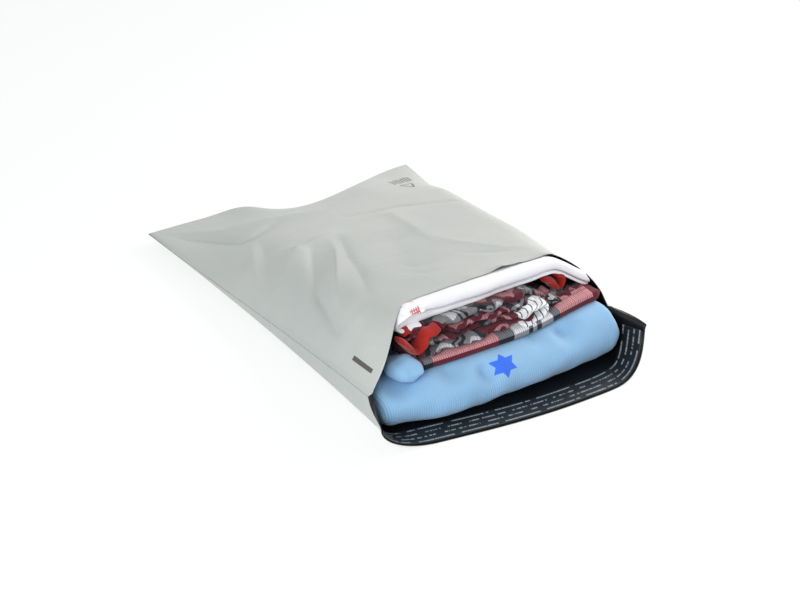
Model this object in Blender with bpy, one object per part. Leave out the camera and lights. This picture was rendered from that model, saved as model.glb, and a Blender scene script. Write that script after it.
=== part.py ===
"""A packed, open poly mailer: a lipped film bag that holds three folded garments, lying on a bench.

The bag is one web of film folded at its closed end and welded down both sides. Its back panel runs on
past the mouth as a lip, which carries an adhesive strip under a release liner. X runs across the bag,
+Y points to its closed end, +Z is up and the bench is at Z = 0.
"""

from math import cos, pi, radians, sin

import bmesh
import bpy
import numpy as np
from mathutils import Matrix

# The bag laid flat
BAG_WIDTH = 0.368
BAG_DEPTH = 0.483
LIP_DEPTH = 0.052
FILM = 0.0005
WELD = 0.006

# The strip on the lip
LINER_WIDTH = 0.030
LINER_FROM_LIP_ENDS = 0.008
LINER_FROM_LIP_EDGE = 0.002
LINER = 0.0003
ADHESIVE_WIDTH = 0.022
ADHESIVE = 0.0004

# The folded garments, bottom to top: long, and thick at the mouth and at the rear. The blue one is
# the widest, and the others stand in from its two ends
BLUE_WIDTH = 0.302
BLUE_LENGTH = 0.356
BLUE_MOUTH_THICK = 0.046
BLUE_REAR_THICK = 0.022
PLAID_LENGTH = 0.306
PLAID_MOUTH_THICK = 0.040
PLAID_REAR_THICK = 0.016
WHITE_LENGTH = 0.288
WHITE_MOUTH_THICK = 0.021
WHITE_REAR_THICK = 0.011
FOLD_GAP = 0.0014
SEAT = 0.0004
SIDE_ROOM = 0.002
FILM_ROOM = 0.0019

# Where each garment lies: its front from the weld ends, its two ends from the blue garment's
BLUE_OVERHANG = 0.039
PLAID_SET_BACK = 0.005
WHITE_SET_BACK = 0.030
STACK_SHIFT = 0.002
PLAID_FROM_BLUE_LEFT = 0.057
PLAID_FROM_BLUE_RIGHT = 0.003
WHITE_FROM_BLUE_LEFT = 0.043
WHITE_FROM_BLUE_RIGHT = 0.004

# The blue garment's fold, and how far its two front corners bend back
BLUE_NOSE = 0.026
BLUE_REAR_NOSE = 0.012
BLUE_LEFT_ROUND = 0.020
BLUE_RIGHT_ROUND = 0.014
BLUE_CORNER = 0.010
BLUE_LEFT_BEND = 0.016
BLUE_LEFT_BEND_WIDTH = 0.099
BLUE_RIGHT_BEND = 0.007
BLUE_RIGHT_BEND_WIDTH = 0.073

# The plaid garment's three folds: shares of its height, set-backs, ruffles, and a dip on the right
PLAID_NOSE = 0.005
PLAID_REAR_NOSE = 0.008
PLAID_END_ROUND = 0.010
PLAID_CORNER = 0.006
PLAID_GROOVE = 0.010
PLAID_LAYERS = (0.25, 0.60, 1.0)
PLAID_MIDDLE_SET_BACK = 0.016
PLAID_TOP_SET_BACK = 0.022
RUFFLE = 0.004
RUFFLE_PITCH = 0.045
FINE_RUFFLE = 0.002
FINE_RUFFLE_PITCH = 0.019
PLAID_BOW = 0.012
PLAID_BOW_HALF = 0.13
PLAID_DIP = 0.032
PLAID_DIP_START = 0.100
PLAID_DIP_WIDTH = 0.070
DIP_FADE = 0.120

# The white garment's two folds: its right end droops and reaches forward, the film follows it part
# of the way down, and its rear edge is drawn in on the left
WHITE_NOSE = 0.008
WHITE_REAR_NOSE = 0.006
WHITE_LEFT_ROUND = 0.014
WHITE_RIGHT_ROUND = 0.008
WHITE_CORNER = 0.008
WHITE_GROOVE = 0.012
WHITE_LAYERS = (0.32, 1.0)
WHITE_LOWER_SET_BACK = 0.003
WHITE_DROOP = 0.029
WHITE_DROOP_START = 0.051
WHITE_DROOP_WIDTH = 0.055
WHITE_REACH = 0.008
FILM_DROOP = 0.010
WHITE_ASKEW = 0.045
WHITE_ASKEW_WIDTH = 0.051

# The sleeve end on the blue garment's left
SLEEVE_HALF_WIDTH = 0.018
SLEEVE_HALF_LENGTH = 0.027
SLEEVE_HALF_THICK = 0.013
SLEEVE_FROM_BLUE_LEFT = 0.038
SLEEVE_SET_BACK = 0.014
SLEEVE_LIFT = 0.009
SLEEVE_TURN = radians(24)

# How the packed bag lies: what filling it takes from its length and width
TAKE_UP = 0.010
CLOSED_END_BOW = 0.033
FRONT_MOUTH_BOW = 0.050
BACK_MOUTH_BOW = 0.025
TURN_UP_WIDTH = 0.010
LEFT_LIP_TURN_IN = 0.036
RIGHT_LIP_TURN_IN = 0.026
BAG_CORNER = 3.6
LIP_CORNER = 2.0
END_EDGE_HEIGHT = 0.006
EAR_RISE = 0.009
LEFT_EAR_HEIGHT = 0.015
RIGHT_EAR_HEIGHT = 0.007
LEFT_WELD_HEIGHT = 0.045
RIGHT_WELD_HEIGHT = 0.052
LEFT_LIP_FLARE = 0.018
RIGHT_LIP_FLARE = 0.015
LEFT_LIP_DROP = 0.012
RIGHT_LIP_DROP = 0.009
FIN_DROOP = radians(25)
FIN_ON_LIP = radians(75)
FRONT_END_ROUND = 0.060
BACK_END_ROUND = 0.045
BLUE_TILT = 0.055
PLAID_TILT = 0.030

# The front panel's section, in shares of the half width: it is level to the shoulder, then falls to
# the weld. A power of 1 falls straight and more keeps it fuller. The right shoulder first moves out
# from the closed end, then in again towards the mouth
LEFT_SHOULDER_REAR = 0.50
LEFT_SHOULDER_MOUTH = 0.70
RIGHT_SHOULDER_REAR = 0.50
RIGHT_SHOULDER_OUT = 0.40
RIGHT_SHOULDER_OUT_BY = 0.3
RIGHT_SHOULDER_IN = 0.28
LEFT_FULLNESS = 1.1
RIGHT_FULLNESS = 2.2

# How finely the film is divided
MESH_COLUMNS = 36
MESH_ROWS = 30
LIP_ROWS = 8

PLAN_DEPTH = BAG_DEPTH - TAKE_UP
CLOSED_Y = (PLAN_DEPTH + BACK_MOUTH_BOW + LIP_DEPTH) / 2
WELD_END_Y = CLOSED_Y - PLAN_DEPTH
END_HALF = BAG_WIDTH / 2 - WELD * cos(FIN_DROOP)
EAR_HEIGHT = {-1: LEFT_EAR_HEIGHT, 1: RIGHT_EAR_HEIGHT}
WELD_HEIGHT = {-1: LEFT_WELD_HEIGHT, 1: RIGHT_WELD_HEIGHT}
LIP_FLARE = {-1: LEFT_LIP_FLARE, 1: RIGHT_LIP_FLARE}
LIP_DROP = {-1: LEFT_LIP_DROP, 1: RIGHT_LIP_DROP}
MOUTH_HALF = {side: BLUE_WIDTH / 2 + SIDE_ROOM + side * STACK_SHIFT for side in (-1, 1)}
LIP_HALF = {side: MOUTH_HALF[side] + LIP_FLARE[side] for side in (-1, 1)}
FLAT_HALF = MOUTH_HALF[-1] - TURN_UP_WIDTH
LIP_FLAT_HALF = {-1: FLAT_HALF - LEFT_LIP_TURN_IN, 1: FLAT_HALF - RIGHT_LIP_TURN_IN}
LINER_LENGTH = BAG_WIDTH - 2 * LINER_FROM_LIP_ENDS

# The stack is measured where the front panel's edge crosses it and at its rear fold
STACK_FRONT_Y = WELD_END_Y + FRONT_MOUTH_BOW
BLUE_FRONT_Y = WELD_END_Y - BLUE_OVERHANG
STACK_REAR_Y = BLUE_FRONT_Y + BLUE_LENGTH
PLAID_FRONT_Y = WELD_END_Y + PLAID_SET_BACK
WHITE_FRONT_Y = WELD_END_Y + WHITE_SET_BACK
BLUE_LEFT = STACK_SHIFT - BLUE_WIDTH / 2
BLUE_RIGHT = BLUE_LEFT + BLUE_WIDTH
PLAID_LEFT = BLUE_LEFT + PLAID_FROM_BLUE_LEFT
PLAID_RIGHT = BLUE_RIGHT - PLAID_FROM_BLUE_RIGHT
WHITE_LEFT = BLUE_LEFT + WHITE_FROM_BLUE_LEFT
WHITE_RIGHT = BLUE_RIGHT - WHITE_FROM_BLUE_RIGHT


def clear_scene():
    for old in list(bpy.data.objects):
        bpy.data.objects.remove(old, do_unlink=True)


def finish(name, colour, roughness):
    material = bpy.data.materials.new(name)
    material.use_nodes = True
    shader = material.node_tree.nodes["Principled BSDF"]
    shader.inputs["Base Color"].default_value = (*colour, 1)
    shader.inputs["Roughness"].default_value = roughness
    material.diffuse_color = (*colour, 1)
    return material


def smooth_step(share):
    share = np.clip(share, 0, 1)
    return share * share * (3 - 2 * share)


def by_side(x, values):
    return np.where(np.asarray(x) < 0, values[-1], values[1])


def along(y):
    """0 at the closed end's corners, 1 where the side welds end at the mouth."""
    return np.clip((CLOSED_Y - y) / PLAN_DEPTH, 0, 1)


def half_width(x, y):
    mouth = by_side(x, MOUTH_HALF)
    return mouth + (END_HALF - mouth) * (1 - along(y)) ** 1.5


def weld_height(x, y):
    ear = by_side(x, EAR_HEIGHT)
    return ear + (by_side(x, WELD_HEIGHT) - ear) * along(y) ** 1.15


# The stack of garments sets how high the front panel lies
def layer_top(x, y, layers):
    """The top of the stack's first layers: a plane that falls to the rear and tilts across."""
    mouth = (BLUE_MOUTH_THICK, PLAID_MOUTH_THICK, WHITE_MOUTH_THICK)
    rear = (BLUE_REAR_THICK, PLAID_REAR_THICK, WHITE_REAR_THICK)
    at_mouth = FILM + layers * SEAT + sum(mouth[:layers])
    at_rear = FILM + layers * SEAT + sum(rear[:layers])
    share = (y - STACK_FRONT_Y) / (STACK_REAR_Y - STACK_FRONT_Y)
    tilt = (0, BLUE_TILT, PLAID_TILT, 0)[layers]
    return at_mouth + (at_rear - at_mouth) * share + tilt * x * (1 - share)


def near_mouth(y):
    """1 in front of the front panel's edge, fading to 0 some way behind it."""
    return smooth_step(1 - (y - STACK_FRONT_Y) / DIP_FADE)


def drooping(x):
    """0 over most of the mouth, rising to 1 at the white garment's right end."""
    return smooth_step((x - WHITE_RIGHT + WHITE_DROOP_START) / WHITE_DROOP_WIDTH)


def end_edge_y(q):
    """The closed edge is drawn in most a little right of its middle."""
    left = np.clip((0.12 - q) / 1.12, 0, 1)
    right = np.clip((q - 0.12) / 0.88, 0, 1)
    return CLOSED_Y - CLOSED_END_BOW * (1 - left**2) ** 4.5 * (1 - right**2) ** 2.2


def end_edge_height(q, x, y):
    """The edge stands off the bench at both ears and sinks towards it between them."""
    rise = EAR_RISE * np.exp(-(((q + 0.32) / 0.2) ** 2))
    return END_EDGE_HEIGHT + (weld_height(x, y) - END_EDGE_HEIGHT) * smooth_step(np.abs(q) / 0.45) + rise


def front_mouth_y(q):
    left = smooth_step((0.95 - np.abs(q)) / 0.47)
    right = np.sqrt(np.clip(1 - np.abs(q) ** 6, 0, 1))
    return WELD_END_Y + FRONT_MOUTH_BOW * np.where(q < 0, left, right)


def back_mouth_y(q):
    """The back panel's mouth line bows out most right of its middle."""
    left = np.clip((0.4 - q) / 1.4, 0, 1)
    right = np.clip((q - 0.4) / 0.6, 0, 1)
    return WELD_END_Y - BACK_MOUTH_BOW * (1 - left**2) ** 1.7 * (1 - right**4)


# Creases and dents in the front panel: plan points as shares of half width and length, height, width
CREASES = (
    ([(-0.62, 0.12), (-0.40, 0.18), (0.0, 0.205), (0.40, 0.24), (0.95, 0.36)], -0.0025, 0.007),
    ([(-0.14, 0.33), (-0.20, 0.37), (-0.62, 0.74)], -0.0055, 0.013),
    ([(-0.10, 0.31), (-0.14, 0.34), (-0.40, 0.38), (-0.78, 0.48)], 0.0040, 0.012),
    ([(-0.10, 0.31), (-0.16, 0.42), (-0.34, 0.62)], 0.0045, 0.012),
    ([(-0.28, 0.22), (-0.58, 0.37)], -0.0045, 0.016),
    ([(-0.62, 0.25), (-0.82, 0.50)], -0.0030, 0.012),
    ([(-0.60, 0.22), (-0.78, 0.48)], 0.0035, 0.010),
    ([(0.10, 0.36), (0.20, 0.55)], -0.0030, 0.030),
    ([(0.20, 0.30), (0.55, 0.45), (0.62, 0.62)], 0.0025, 0.016),
)


def distance_to_run(x, y, run):
    """How far each point lies from a run of straight pieces in plan."""
    nearest = np.full(np.shape(x), 1.0)
    for (x1, y1), (x2, y2) in zip(run, run[1:]):
        dx, dy = x2 - x1, y2 - y1
        share = np.clip(((x - x1) * dx + (y - y1) * dy) / (dx * dx + dy * dy), 0, 1)
        nearest = np.minimum(nearest, np.hypot(x - x1 - share * dx, y - y1 - share * dy))
    return nearest


def relief(x, y):
    total = np.zeros(np.shape(x))
    for run, height, width in CREASES:
        plan = []
        for q, share in run:
            place_y = CLOSED_Y - share * PLAN_DEPTH
            plan.append((q * float(half_width(q, place_y)), place_y))
        total = total + height * np.exp(-((distance_to_run(x, y, plan) / width) ** 2))
    return total


def end_round(x, y, reach):
    """Rises from 0 at the closed edge to 1 at the reach inside it, on a quarter ellipse."""
    q = np.clip(np.abs(x) / half_width(x, y), 0, 1) * np.sign(x)
    inside = np.clip((end_edge_y(q) - y) / reach, 0, 1)
    return np.sqrt(1 - (1 - inside) ** 2)


def ceiling(x, y):
    """The inner face of the front panel."""
    t = along(y)
    q = np.clip(np.abs(x) / half_width(x, y), 0, 1)
    left_shoulder = LEFT_SHOULDER_REAR + (LEFT_SHOULDER_MOUTH - LEFT_SHOULDER_REAR) * t
    out = RIGHT_SHOULDER_OUT * smooth_step(t / RIGHT_SHOULDER_OUT_BY)
    right_shoulder = RIGHT_SHOULDER_REAR + out - RIGHT_SHOULDER_IN * t
    shoulder = np.where(np.asarray(x) < 0, left_shoulder, right_shoulder)
    power = np.where(np.asarray(x) < 0, LEFT_FULLNESS, RIGHT_FULLNESS)
    down = np.clip((q - shoulder) / (1 - shoulder), 0, 1)
    slope = (1 - down**power) ** (1 / power)
    weld = weld_height(x, y)
    top = layer_top(x, y, 3) + SEAT - FILM_DROOP * drooping(x) * near_mouth(y)
    edge = end_edge_height(q * np.sign(x), x, y)
    section = weld + (top - weld) * slope + relief(x, y) * slope
    return edge + (section - edge) * end_round(x, y, FRONT_END_ROUND)


def turned_up(x, flat_half, half, height, power):
    """The height of a sheet that lies flat to flat_half and turns up to height at half."""
    corner = np.clip((np.abs(x) - flat_half) / (half - flat_half), 0, 1)
    return FILM + (height - FILM) * (1 - (1 - corner**power) ** (1 / power))


def roof(x, y):
    """How high a garment may reach: under the front panel, and free in front of its edge."""
    q = np.clip(x / half_width(x, y), -1, 1)
    inside = y > front_mouth_y(q) - 2 * FILM_ROOM
    return np.where(inside, ceiling(x, y) - FILM_ROOM, 1.0)


def floor(x, y):
    """The inner face of the back panel."""
    return turned_up(x, FLAT_HALF, half_width(x, y), weld_height(x, y), BAG_CORNER)


def raised_floor(x, y):
    q = np.clip(np.abs(x) / half_width(x, y), 0, 1) * np.sign(x)
    edge = end_edge_height(q, x, y)
    return edge + (floor(x, y) - edge) * end_round(x, y, BACK_END_ROUND)


# The two panels as grids of points: rows run from the closed end to the mouth, columns across
def even_columns():
    u = np.linspace(-1, 1, MESH_COLUMNS + 1)
    return (u + np.sin(u * pi / 2)) / 2


def corner_columns(flat_share, q_even):
    """Columns set closer round the turned-up corners of the back panel."""
    flat_columns = 0.55
    u = np.abs(np.linspace(-1, 1, MESH_COLUMNS + 1))
    turn = np.clip((u - flat_columns) / (1 - flat_columns), 0, 1) * pi / 2
    spread = np.where(
        u < flat_columns,
        flat_share * u / flat_columns,
        flat_share + (1 - flat_share) * np.sin(turn) ** 0.7,
    )
    return np.sign(q_even) * spread


def bag_rows():
    return np.linspace(0, 1, MESH_ROWS + 1) ** 1.2


def front_points():
    q = even_columns()
    rows = []
    for v in bag_rows():
        y = end_edge_y(q) + (front_mouth_y(q) - end_edge_y(q)) * v
        x = q * half_width(q, y)
        rows.append(np.stack([x, y, ceiling(x, y)], -1))
    return np.array(rows)


def back_points():
    q_even = even_columns()
    rows = []
    for v in bag_rows():
        y = end_edge_y(q_even) + (back_mouth_y(q_even) - end_edge_y(q_even)) * v
        half = half_width(q_even, y)
        blend = smooth_step(v / 0.12)
        q = q_even + (corner_columns(FLAT_HALF / half, q_even) - q_even) * blend
        y = end_edge_y(q) + (back_mouth_y(q) - end_edge_y(q)) * v
        x = q * half
        z = raised_floor(x, y)
        rows.append(np.stack([x, y, z], -1))
    return np.array(rows)


def lip_point(q, w):
    """The lip's inner face: w runs from 0 at the mouth line to 1 at its edge."""
    mouth_half = by_side(q, MOUTH_HALF)
    half = mouth_half + (by_side(q, LIP_HALF) - mouth_half) * w
    height = by_side(q, WELD_HEIGHT) - by_side(q, LIP_DROP) * w
    flare = np.hypot(by_side(q, LIP_FLARE), by_side(q, LIP_DROP)) * q**4
    reach = np.sqrt(LIP_DEPTH**2 - flare**2)
    x = q * half
    y = back_mouth_y(q) - reach * w
    flat_half = FLAT_HALF + (by_side(q, LIP_FLAT_HALF) - FLAT_HALF) * w
    z = turned_up(x, flat_half, half, height, BAG_CORNER + (LIP_CORNER - BAG_CORNER) * w)
    return np.stack([x, y, np.where(np.abs(q) >= 1, height, z)], -1)


def lip_points():
    q_even = even_columns()
    q = corner_columns(FLAT_HALF / by_side(q_even, MOUTH_HALF), q_even)
    return np.array([lip_point(q, w) for w in np.linspace(0, 1, LIP_ROWS + 1)])


def with_fins(points, lift):
    """Adds the weld fin's outer column at each side; lift turns it from drooping to standing."""
    out = []
    for row, share in zip(points, lift):
        ends = []
        for side, at in ((-1, row[0]), (1, row[-1])):
            turn = -FIN_DROOP + share * (FIN_ON_LIP + FIN_DROOP)
            ends.append(at + WELD * np.array([side * cos(turn), 0, sin(turn)]))
        out.append(np.vstack([ends[0], row, ends[1]]))
    return np.array(out)


def grid_normals(points, upward):
    along_rows = np.gradient(points, axis=0)
    across = np.gradient(points, axis=1)
    normal = np.cross(across, along_rows)
    normal /= np.linalg.norm(normal, axis=2, keepdims=True)
    middle = normal[normal.shape[0] // 2, normal.shape[1] // 2, 2]
    return normal if (middle > 0) == upward else -normal


# Mesh helpers
def add_sheet(bm, points):
    """A grid of faces through the points, given as rows of columns."""
    rows, columns = points.shape[:2]
    made = bmesh.ops.create_grid(bm, x_segments=columns - 1, y_segments=rows - 1, size=1)
    for vert, point in zip(made["verts"], points.reshape(-1, 3)):
        vert.co = point


def add_strip(bm, one, other):
    add_sheet(bm, np.stack([one, other]))


def close_body(bm):
    bmesh.ops.remove_doubles(bm, verts=bm.verts[:], dist=0.000002)
    bmesh.ops.recalc_face_normals(bm, faces=bm.faces[:])


def place_body(name, bm, material):
    mesh = bpy.data.meshes.new(name)
    bm.to_mesh(mesh)
    bm.free()
    mesh.materials.append(material)
    mesh.shade_smooth()
    body = bpy.data.objects.new(name, mesh)
    bpy.context.scene.collection.objects.link(body)
    return body


def slab_body(name, lower, upper, material):
    """A closed sheet between two grids of points."""
    bm = bmesh.new()
    add_sheet(bm, lower)
    add_sheet(bm, upper)
    for edge in (np.s_[0], np.s_[-1], np.s_[:, 0], np.s_[:, -1]):
        add_strip(bm, lower[edge], upper[edge])
    close_body(bm)
    return place_body(name, bm, material)


def make_film():
    """One web: outer faces over the whole bag and lip, inner faces inside the welds, rims between."""
    front = with_fins(front_points(), np.zeros(MESH_ROWS + 1))
    back = with_fins(back_points(), np.zeros(MESH_ROWS + 1))
    lip = with_fins(lip_points(), np.linspace(0, 1, LIP_ROWS + 1))
    back_web = np.vstack([back, lip[1:]])
    outer_front = front + FILM * grid_normals(front, True)
    outer_back = back_web + FILM * grid_normals(back_web, False)
    lip[0, 0] = outer_front[-1, 0]
    lip[0, -1] = outer_front[-1, -1]
    bag = MESH_ROWS + 1
    bm = bmesh.new()
    add_sheet(bm, outer_front)
    add_sheet(bm, outer_back)
    add_sheet(bm, front[:, 1:-1])
    add_sheet(bm, back[:, 1:-1])
    add_sheet(bm, lip)
    for side in (0, -1):
        add_strip(bm, outer_front[:, side], outer_back[:bag, side])
        add_strip(bm, outer_back[bag - 1 :, side], lip[:, side])
    add_strip(bm, outer_front[0], outer_back[0])
    add_strip(bm, outer_back[-1], lip[-1])
    add_strip(bm, outer_front[-1, 1:-1], front[-1, 1:-1])
    add_strip(bm, outer_front[-1, :2], lip[0, :2])
    add_strip(bm, outer_front[-1, -2:], lip[0, -2:])
    close_body(bm)
    return place_body("mailer_film", bm, finish("grey film", (0.53, 0.54, 0.53), 0.4))


def between(grid, steps, first, last):
    """The grid from first to last (0 to 1) along its first axis, cut at those two and its own rows."""
    own = np.linspace(0, 1, steps + 1)
    cuts = [first] + [w for w in own if first + 0.01 < w < last - 0.01] + [last]
    out = []
    for w in cuts:
        index = min(int(w * steps), steps - 1)
        share = w * steps - index
        out.append(grid[index] * (1 - share) + grid[index + 1] * share)
    return np.array(out)


def lip_strip(width, from_edge, length, low, high):
    """The lower and upper faces of a strip that lies on the lip, low and high over its inner face."""
    last = 1 - from_edge / LIP_DEPTH
    across = length / BAG_WIDTH / 2
    rows = between(lip_points(), LIP_ROWS, last - width / LIP_DEPTH, last)
    points = between(rows.swapaxes(0, 1), MESH_COLUMNS, 0.5 - across, 0.5 + across).swapaxes(0, 1)
    normal = grid_normals(points, True)
    return points + low * normal, points + high * normal


def make_strips():
    adhesive_inset = (LINER_WIDTH - ADHESIVE_WIDTH) / 2
    low, high = lip_strip(
        ADHESIVE_WIDTH,
        LINER_FROM_LIP_EDGE + adhesive_inset,
        LINER_LENGTH - 2 * adhesive_inset,
        SEAT,
        SEAT + ADHESIVE,
    )
    slab_body("adhesive_strip", low, high, finish("hot melt", (0.75, 0.72, 0.62), 0.3))
    base = 2 * SEAT + ADHESIVE
    low, high = lip_strip(LINER_WIDTH, LINER_FROM_LIP_EDGE, LINER_LENGTH, base, base + LINER)
    slab_body("release_liner", low, high, finish("printed liner", (0.02, 0.027, 0.04), 0.35))


# Folded garments: sections across the stack's length, each a loop of layers with round noses
def layered_loop(front, rear, low, high, layers, nose, rear_nose, groove, full):
    """A section at one x, thinned to full. Layers, from below: share of height it ends at, set back."""
    loop = []
    for share in np.linspace(0, 1, 10):
        y = rear - rear_nose + (front + layers[0][1] + nose - rear + rear_nose) * share
        loop.append((y, low(y)))
    started = 0.0
    for index, (ends, set_back) in enumerate(layers):
        centre = front + set_back + nose
        height = high(centre) - low(centre)
        gap = min(FOLD_GAP, height * 0.08)
        z0 = low(centre) + height * started + (gap / 2 if index else 0)
        last = index == len(layers) - 1
        z1 = low(centre) + height * ends - (0 if last else gap / 2)
        for angle in np.linspace(-pi / 2, pi / 2, 7)[(1 if index == 0 else 0) : (6 if last else 7)]:
            y = centre - nose * cos(angle)
            loop.append((y, (z0 + z1) / 2 + (z1 - z0) / 2 * sin(angle)))
        if not last:
            inner = centre + groove
            loop.append((inner, z1 + gap * 0.2))
            loop.append((inner, z1 + gap * 0.8))
        started = ends
    top_front = front + layers[-1][1] + nose
    for share in np.linspace(0, 1, 10):
        y = top_front + (rear - rear_nose - top_front) * share
        loop.append((y, high(y)))
    middle = (low(rear - rear_nose) + high(rear - rear_nose)) / 2
    radius = (high(rear - rear_nose) - low(rear - rear_nose)) / 2
    for angle in np.linspace(pi / 2, -pi / 2, 7)[1:-1]:
        loop.append((rear - rear_nose + rear_nose * cos(angle), middle + radius * sin(angle)))
    y, z = np.array(loop).T
    middle = (low(y) + high(y)) / 2
    return y, middle + (z - middle) * full


def end_stations(x_left, x_right, round_left, round_right, middle_count):
    """Stations across a garment, with how full its section is at each: thin at the two ends."""
    stations = []
    for turn in np.radians([14, 35, 58]):
        stations.append((x_left + round_left * (1 - cos(turn)), sin(turn)))
    for x in np.linspace(x_left + round_left, x_right - round_right, middle_count):
        stations.append((x, 1.0))
    for turn in np.radians([58, 35, 14]):
        stations.append((x_right - round_right * (1 - cos(turn)), sin(turn)))
    return stations


def make_garment(name, stations, section, corner, material):
    """Lofts the section over the stations, closes both ends and keeps it inside the film."""
    bm = bmesh.new()
    loops = []
    for x, full in stations:
        y, z = section(x, corner * (1 - full), full)
        at = np.full(y.shape, x)
        z = np.minimum(z, roof(at, y))
        z = np.maximum(z, floor(at, y) + (FILM_ROOM if abs(x) > FLAT_HALF else SEAT))
        loops.append(np.stack([at, y, z], -1))
    loops = np.array(loops)
    add_sheet(bm, np.concatenate([loops, loops[:, :1]], axis=1))
    bmesh.ops.remove_doubles(bm, verts=bm.verts[:], dist=0.000002)
    rims = [edge for edge in bm.edges if edge.is_boundary]
    bmesh.ops.holes_fill(bm, edges=rims, sides=0)
    close_body(bm)
    return place_body(name, bm, material)


def make_blue():
    def section(x, corner, full):
        left_bend = BLUE_LEFT_BEND * smooth_step(1 - (x - BLUE_LEFT) / BLUE_LEFT_BEND_WIDTH)
        right_bend = BLUE_RIGHT_BEND * smooth_step(1 - (BLUE_RIGHT - x) / BLUE_RIGHT_BEND_WIDTH)
        return layered_loop(
            BLUE_FRONT_Y + left_bend + right_bend + corner,
            STACK_REAR_Y - corner,
            lambda y: FILM + SEAT,
            lambda y: np.minimum(layer_top(x, y, 1), roof(x, y)),
            [(1.0, 0.0)],
            BLUE_NOSE,
            BLUE_REAR_NOSE,
            0.0,
            full,
        )

    stations = end_stations(BLUE_LEFT, BLUE_RIGHT, BLUE_LEFT_ROUND, BLUE_RIGHT_ROUND, 16)
    blue = finish("blue knit", (0.25, 0.42, 0.62), 0.9)
    body = make_garment("blue_shirt", stations, section, BLUE_CORNER, blue)
    add_sleeve(body)


def add_sleeve(body):
    """The end of a sleeve, folded over the garment's left end, joined to it by a union."""
    x = BLUE_LEFT + SLEEVE_FROM_BLUE_LEFT
    y = WELD_END_Y + SLEEVE_SET_BACK
    half_size = (SLEEVE_HALF_WIDTH, SLEEVE_HALF_LENGTH, SLEEVE_HALF_THICK)
    bm = bmesh.new()
    bmesh.ops.create_uvsphere(bm, u_segments=20, v_segments=12, radius=1)
    bmesh.ops.scale(bm, vec=half_size, verts=bm.verts[:])
    turn = Matrix.Rotation(SLEEVE_TURN, 3, "Z")
    bmesh.ops.rotate(bm, cent=(0, 0, 0), matrix=turn, verts=bm.verts[:])
    bmesh.ops.translate(bm, vec=(x, y, layer_top(x, y, 1) + SLEEVE_LIFT), verts=bm.verts[:])
    sleeve = place_body("sleeve_end", bm, body.data.materials[0])
    sleeve.hide_render = True
    sleeve.display_type = "WIRE"
    union = body.modifiers.new("sleeve", "BOOLEAN")
    union.operation = "UNION"
    union.object = sleeve


def make_plaid():
    middle_x = (PLAID_LEFT + PLAID_RIGHT) / 2

    def dip(x, y):
        start = PLAID_RIGHT - PLAID_DIP_START
        return PLAID_DIP * smooth_step((x - start) / PLAID_DIP_WIDTH) * near_mouth(y)

    def section(x, corner, full):
        ruffle = RUFFLE * sin(2 * pi * x / RUFFLE_PITCH) + FINE_RUFFLE * sin(2 * pi * x / FINE_RUFFLE_PITCH + 1)
        set_backs = (0, PLAID_MIDDLE_SET_BACK + ruffle, PLAID_TOP_SET_BACK - ruffle)
        bow = PLAID_BOW * smooth_step(1 - abs(x - middle_x) / PLAID_BOW_HALF)
        return layered_loop(
            PLAID_FRONT_Y + corner - bow,
            PLAID_FRONT_Y + PLAID_LENGTH - corner,
            lambda y: layer_top(x, y, 1) + SEAT,
            lambda y: np.minimum(layer_top(x, y, 2) - dip(x, y), roof(x, y)),
            list(zip(PLAID_LAYERS, set_backs)),
            PLAID_NOSE,
            PLAID_REAR_NOSE,
            PLAID_GROOVE,
            full,
        )

    stations = end_stations(PLAID_LEFT, PLAID_RIGHT, PLAID_END_ROUND, PLAID_END_ROUND, 18)
    plaid = finish("plaid flannel", (0.30, 0.05, 0.06), 0.9)
    make_garment("plaid_shirt", stations, section, PLAID_CORNER, plaid)


def make_white():
    def droop(x, y):
        return WHITE_DROOP * drooping(x) * near_mouth(y)

    def section(x, corner, full):
        askew = WHITE_ASKEW * smooth_step(1 - (x - WHITE_LEFT) / WHITE_ASKEW_WIDTH)
        return layered_loop(
            WHITE_FRONT_Y + corner - WHITE_REACH * drooping(x),
            WHITE_FRONT_Y + WHITE_LENGTH - corner - askew,
            lambda y: layer_top(x, y, 2) + SEAT - droop(x, y),
            lambda y: np.minimum(layer_top(x, y, 3) - droop(x, y), roof(x, y)),
            list(zip(WHITE_LAYERS, (WHITE_LOWER_SET_BACK, 0.0))),
            WHITE_NOSE,
            WHITE_REAR_NOSE,
            WHITE_GROOVE,
            full,
        )

    stations = end_stations(WHITE_LEFT, WHITE_RIGHT, WHITE_LEFT_ROUND, WHITE_RIGHT_ROUND, 16)
    white = finish("white jersey", (0.9, 0.9, 0.92), 0.9)
    make_garment("white_tshirt", stations, section, WHITE_CORNER, white)


clear_scene()
make_film()
make_strips()
make_blue()
make_plaid()
make_white()
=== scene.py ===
# %% [markdown]
# A grey film mailer lies open on a table, packed with three folded garments.
# The solid model is loaded first and never moves. Every soft piece is then built again
# with finer meshes in the same place, and each surface gets a finish made of nodes.

from math import atan2, cos, hypot, pi, radians, sin

import bmesh
import bpy
import numpy as np
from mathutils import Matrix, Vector, noise


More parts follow.
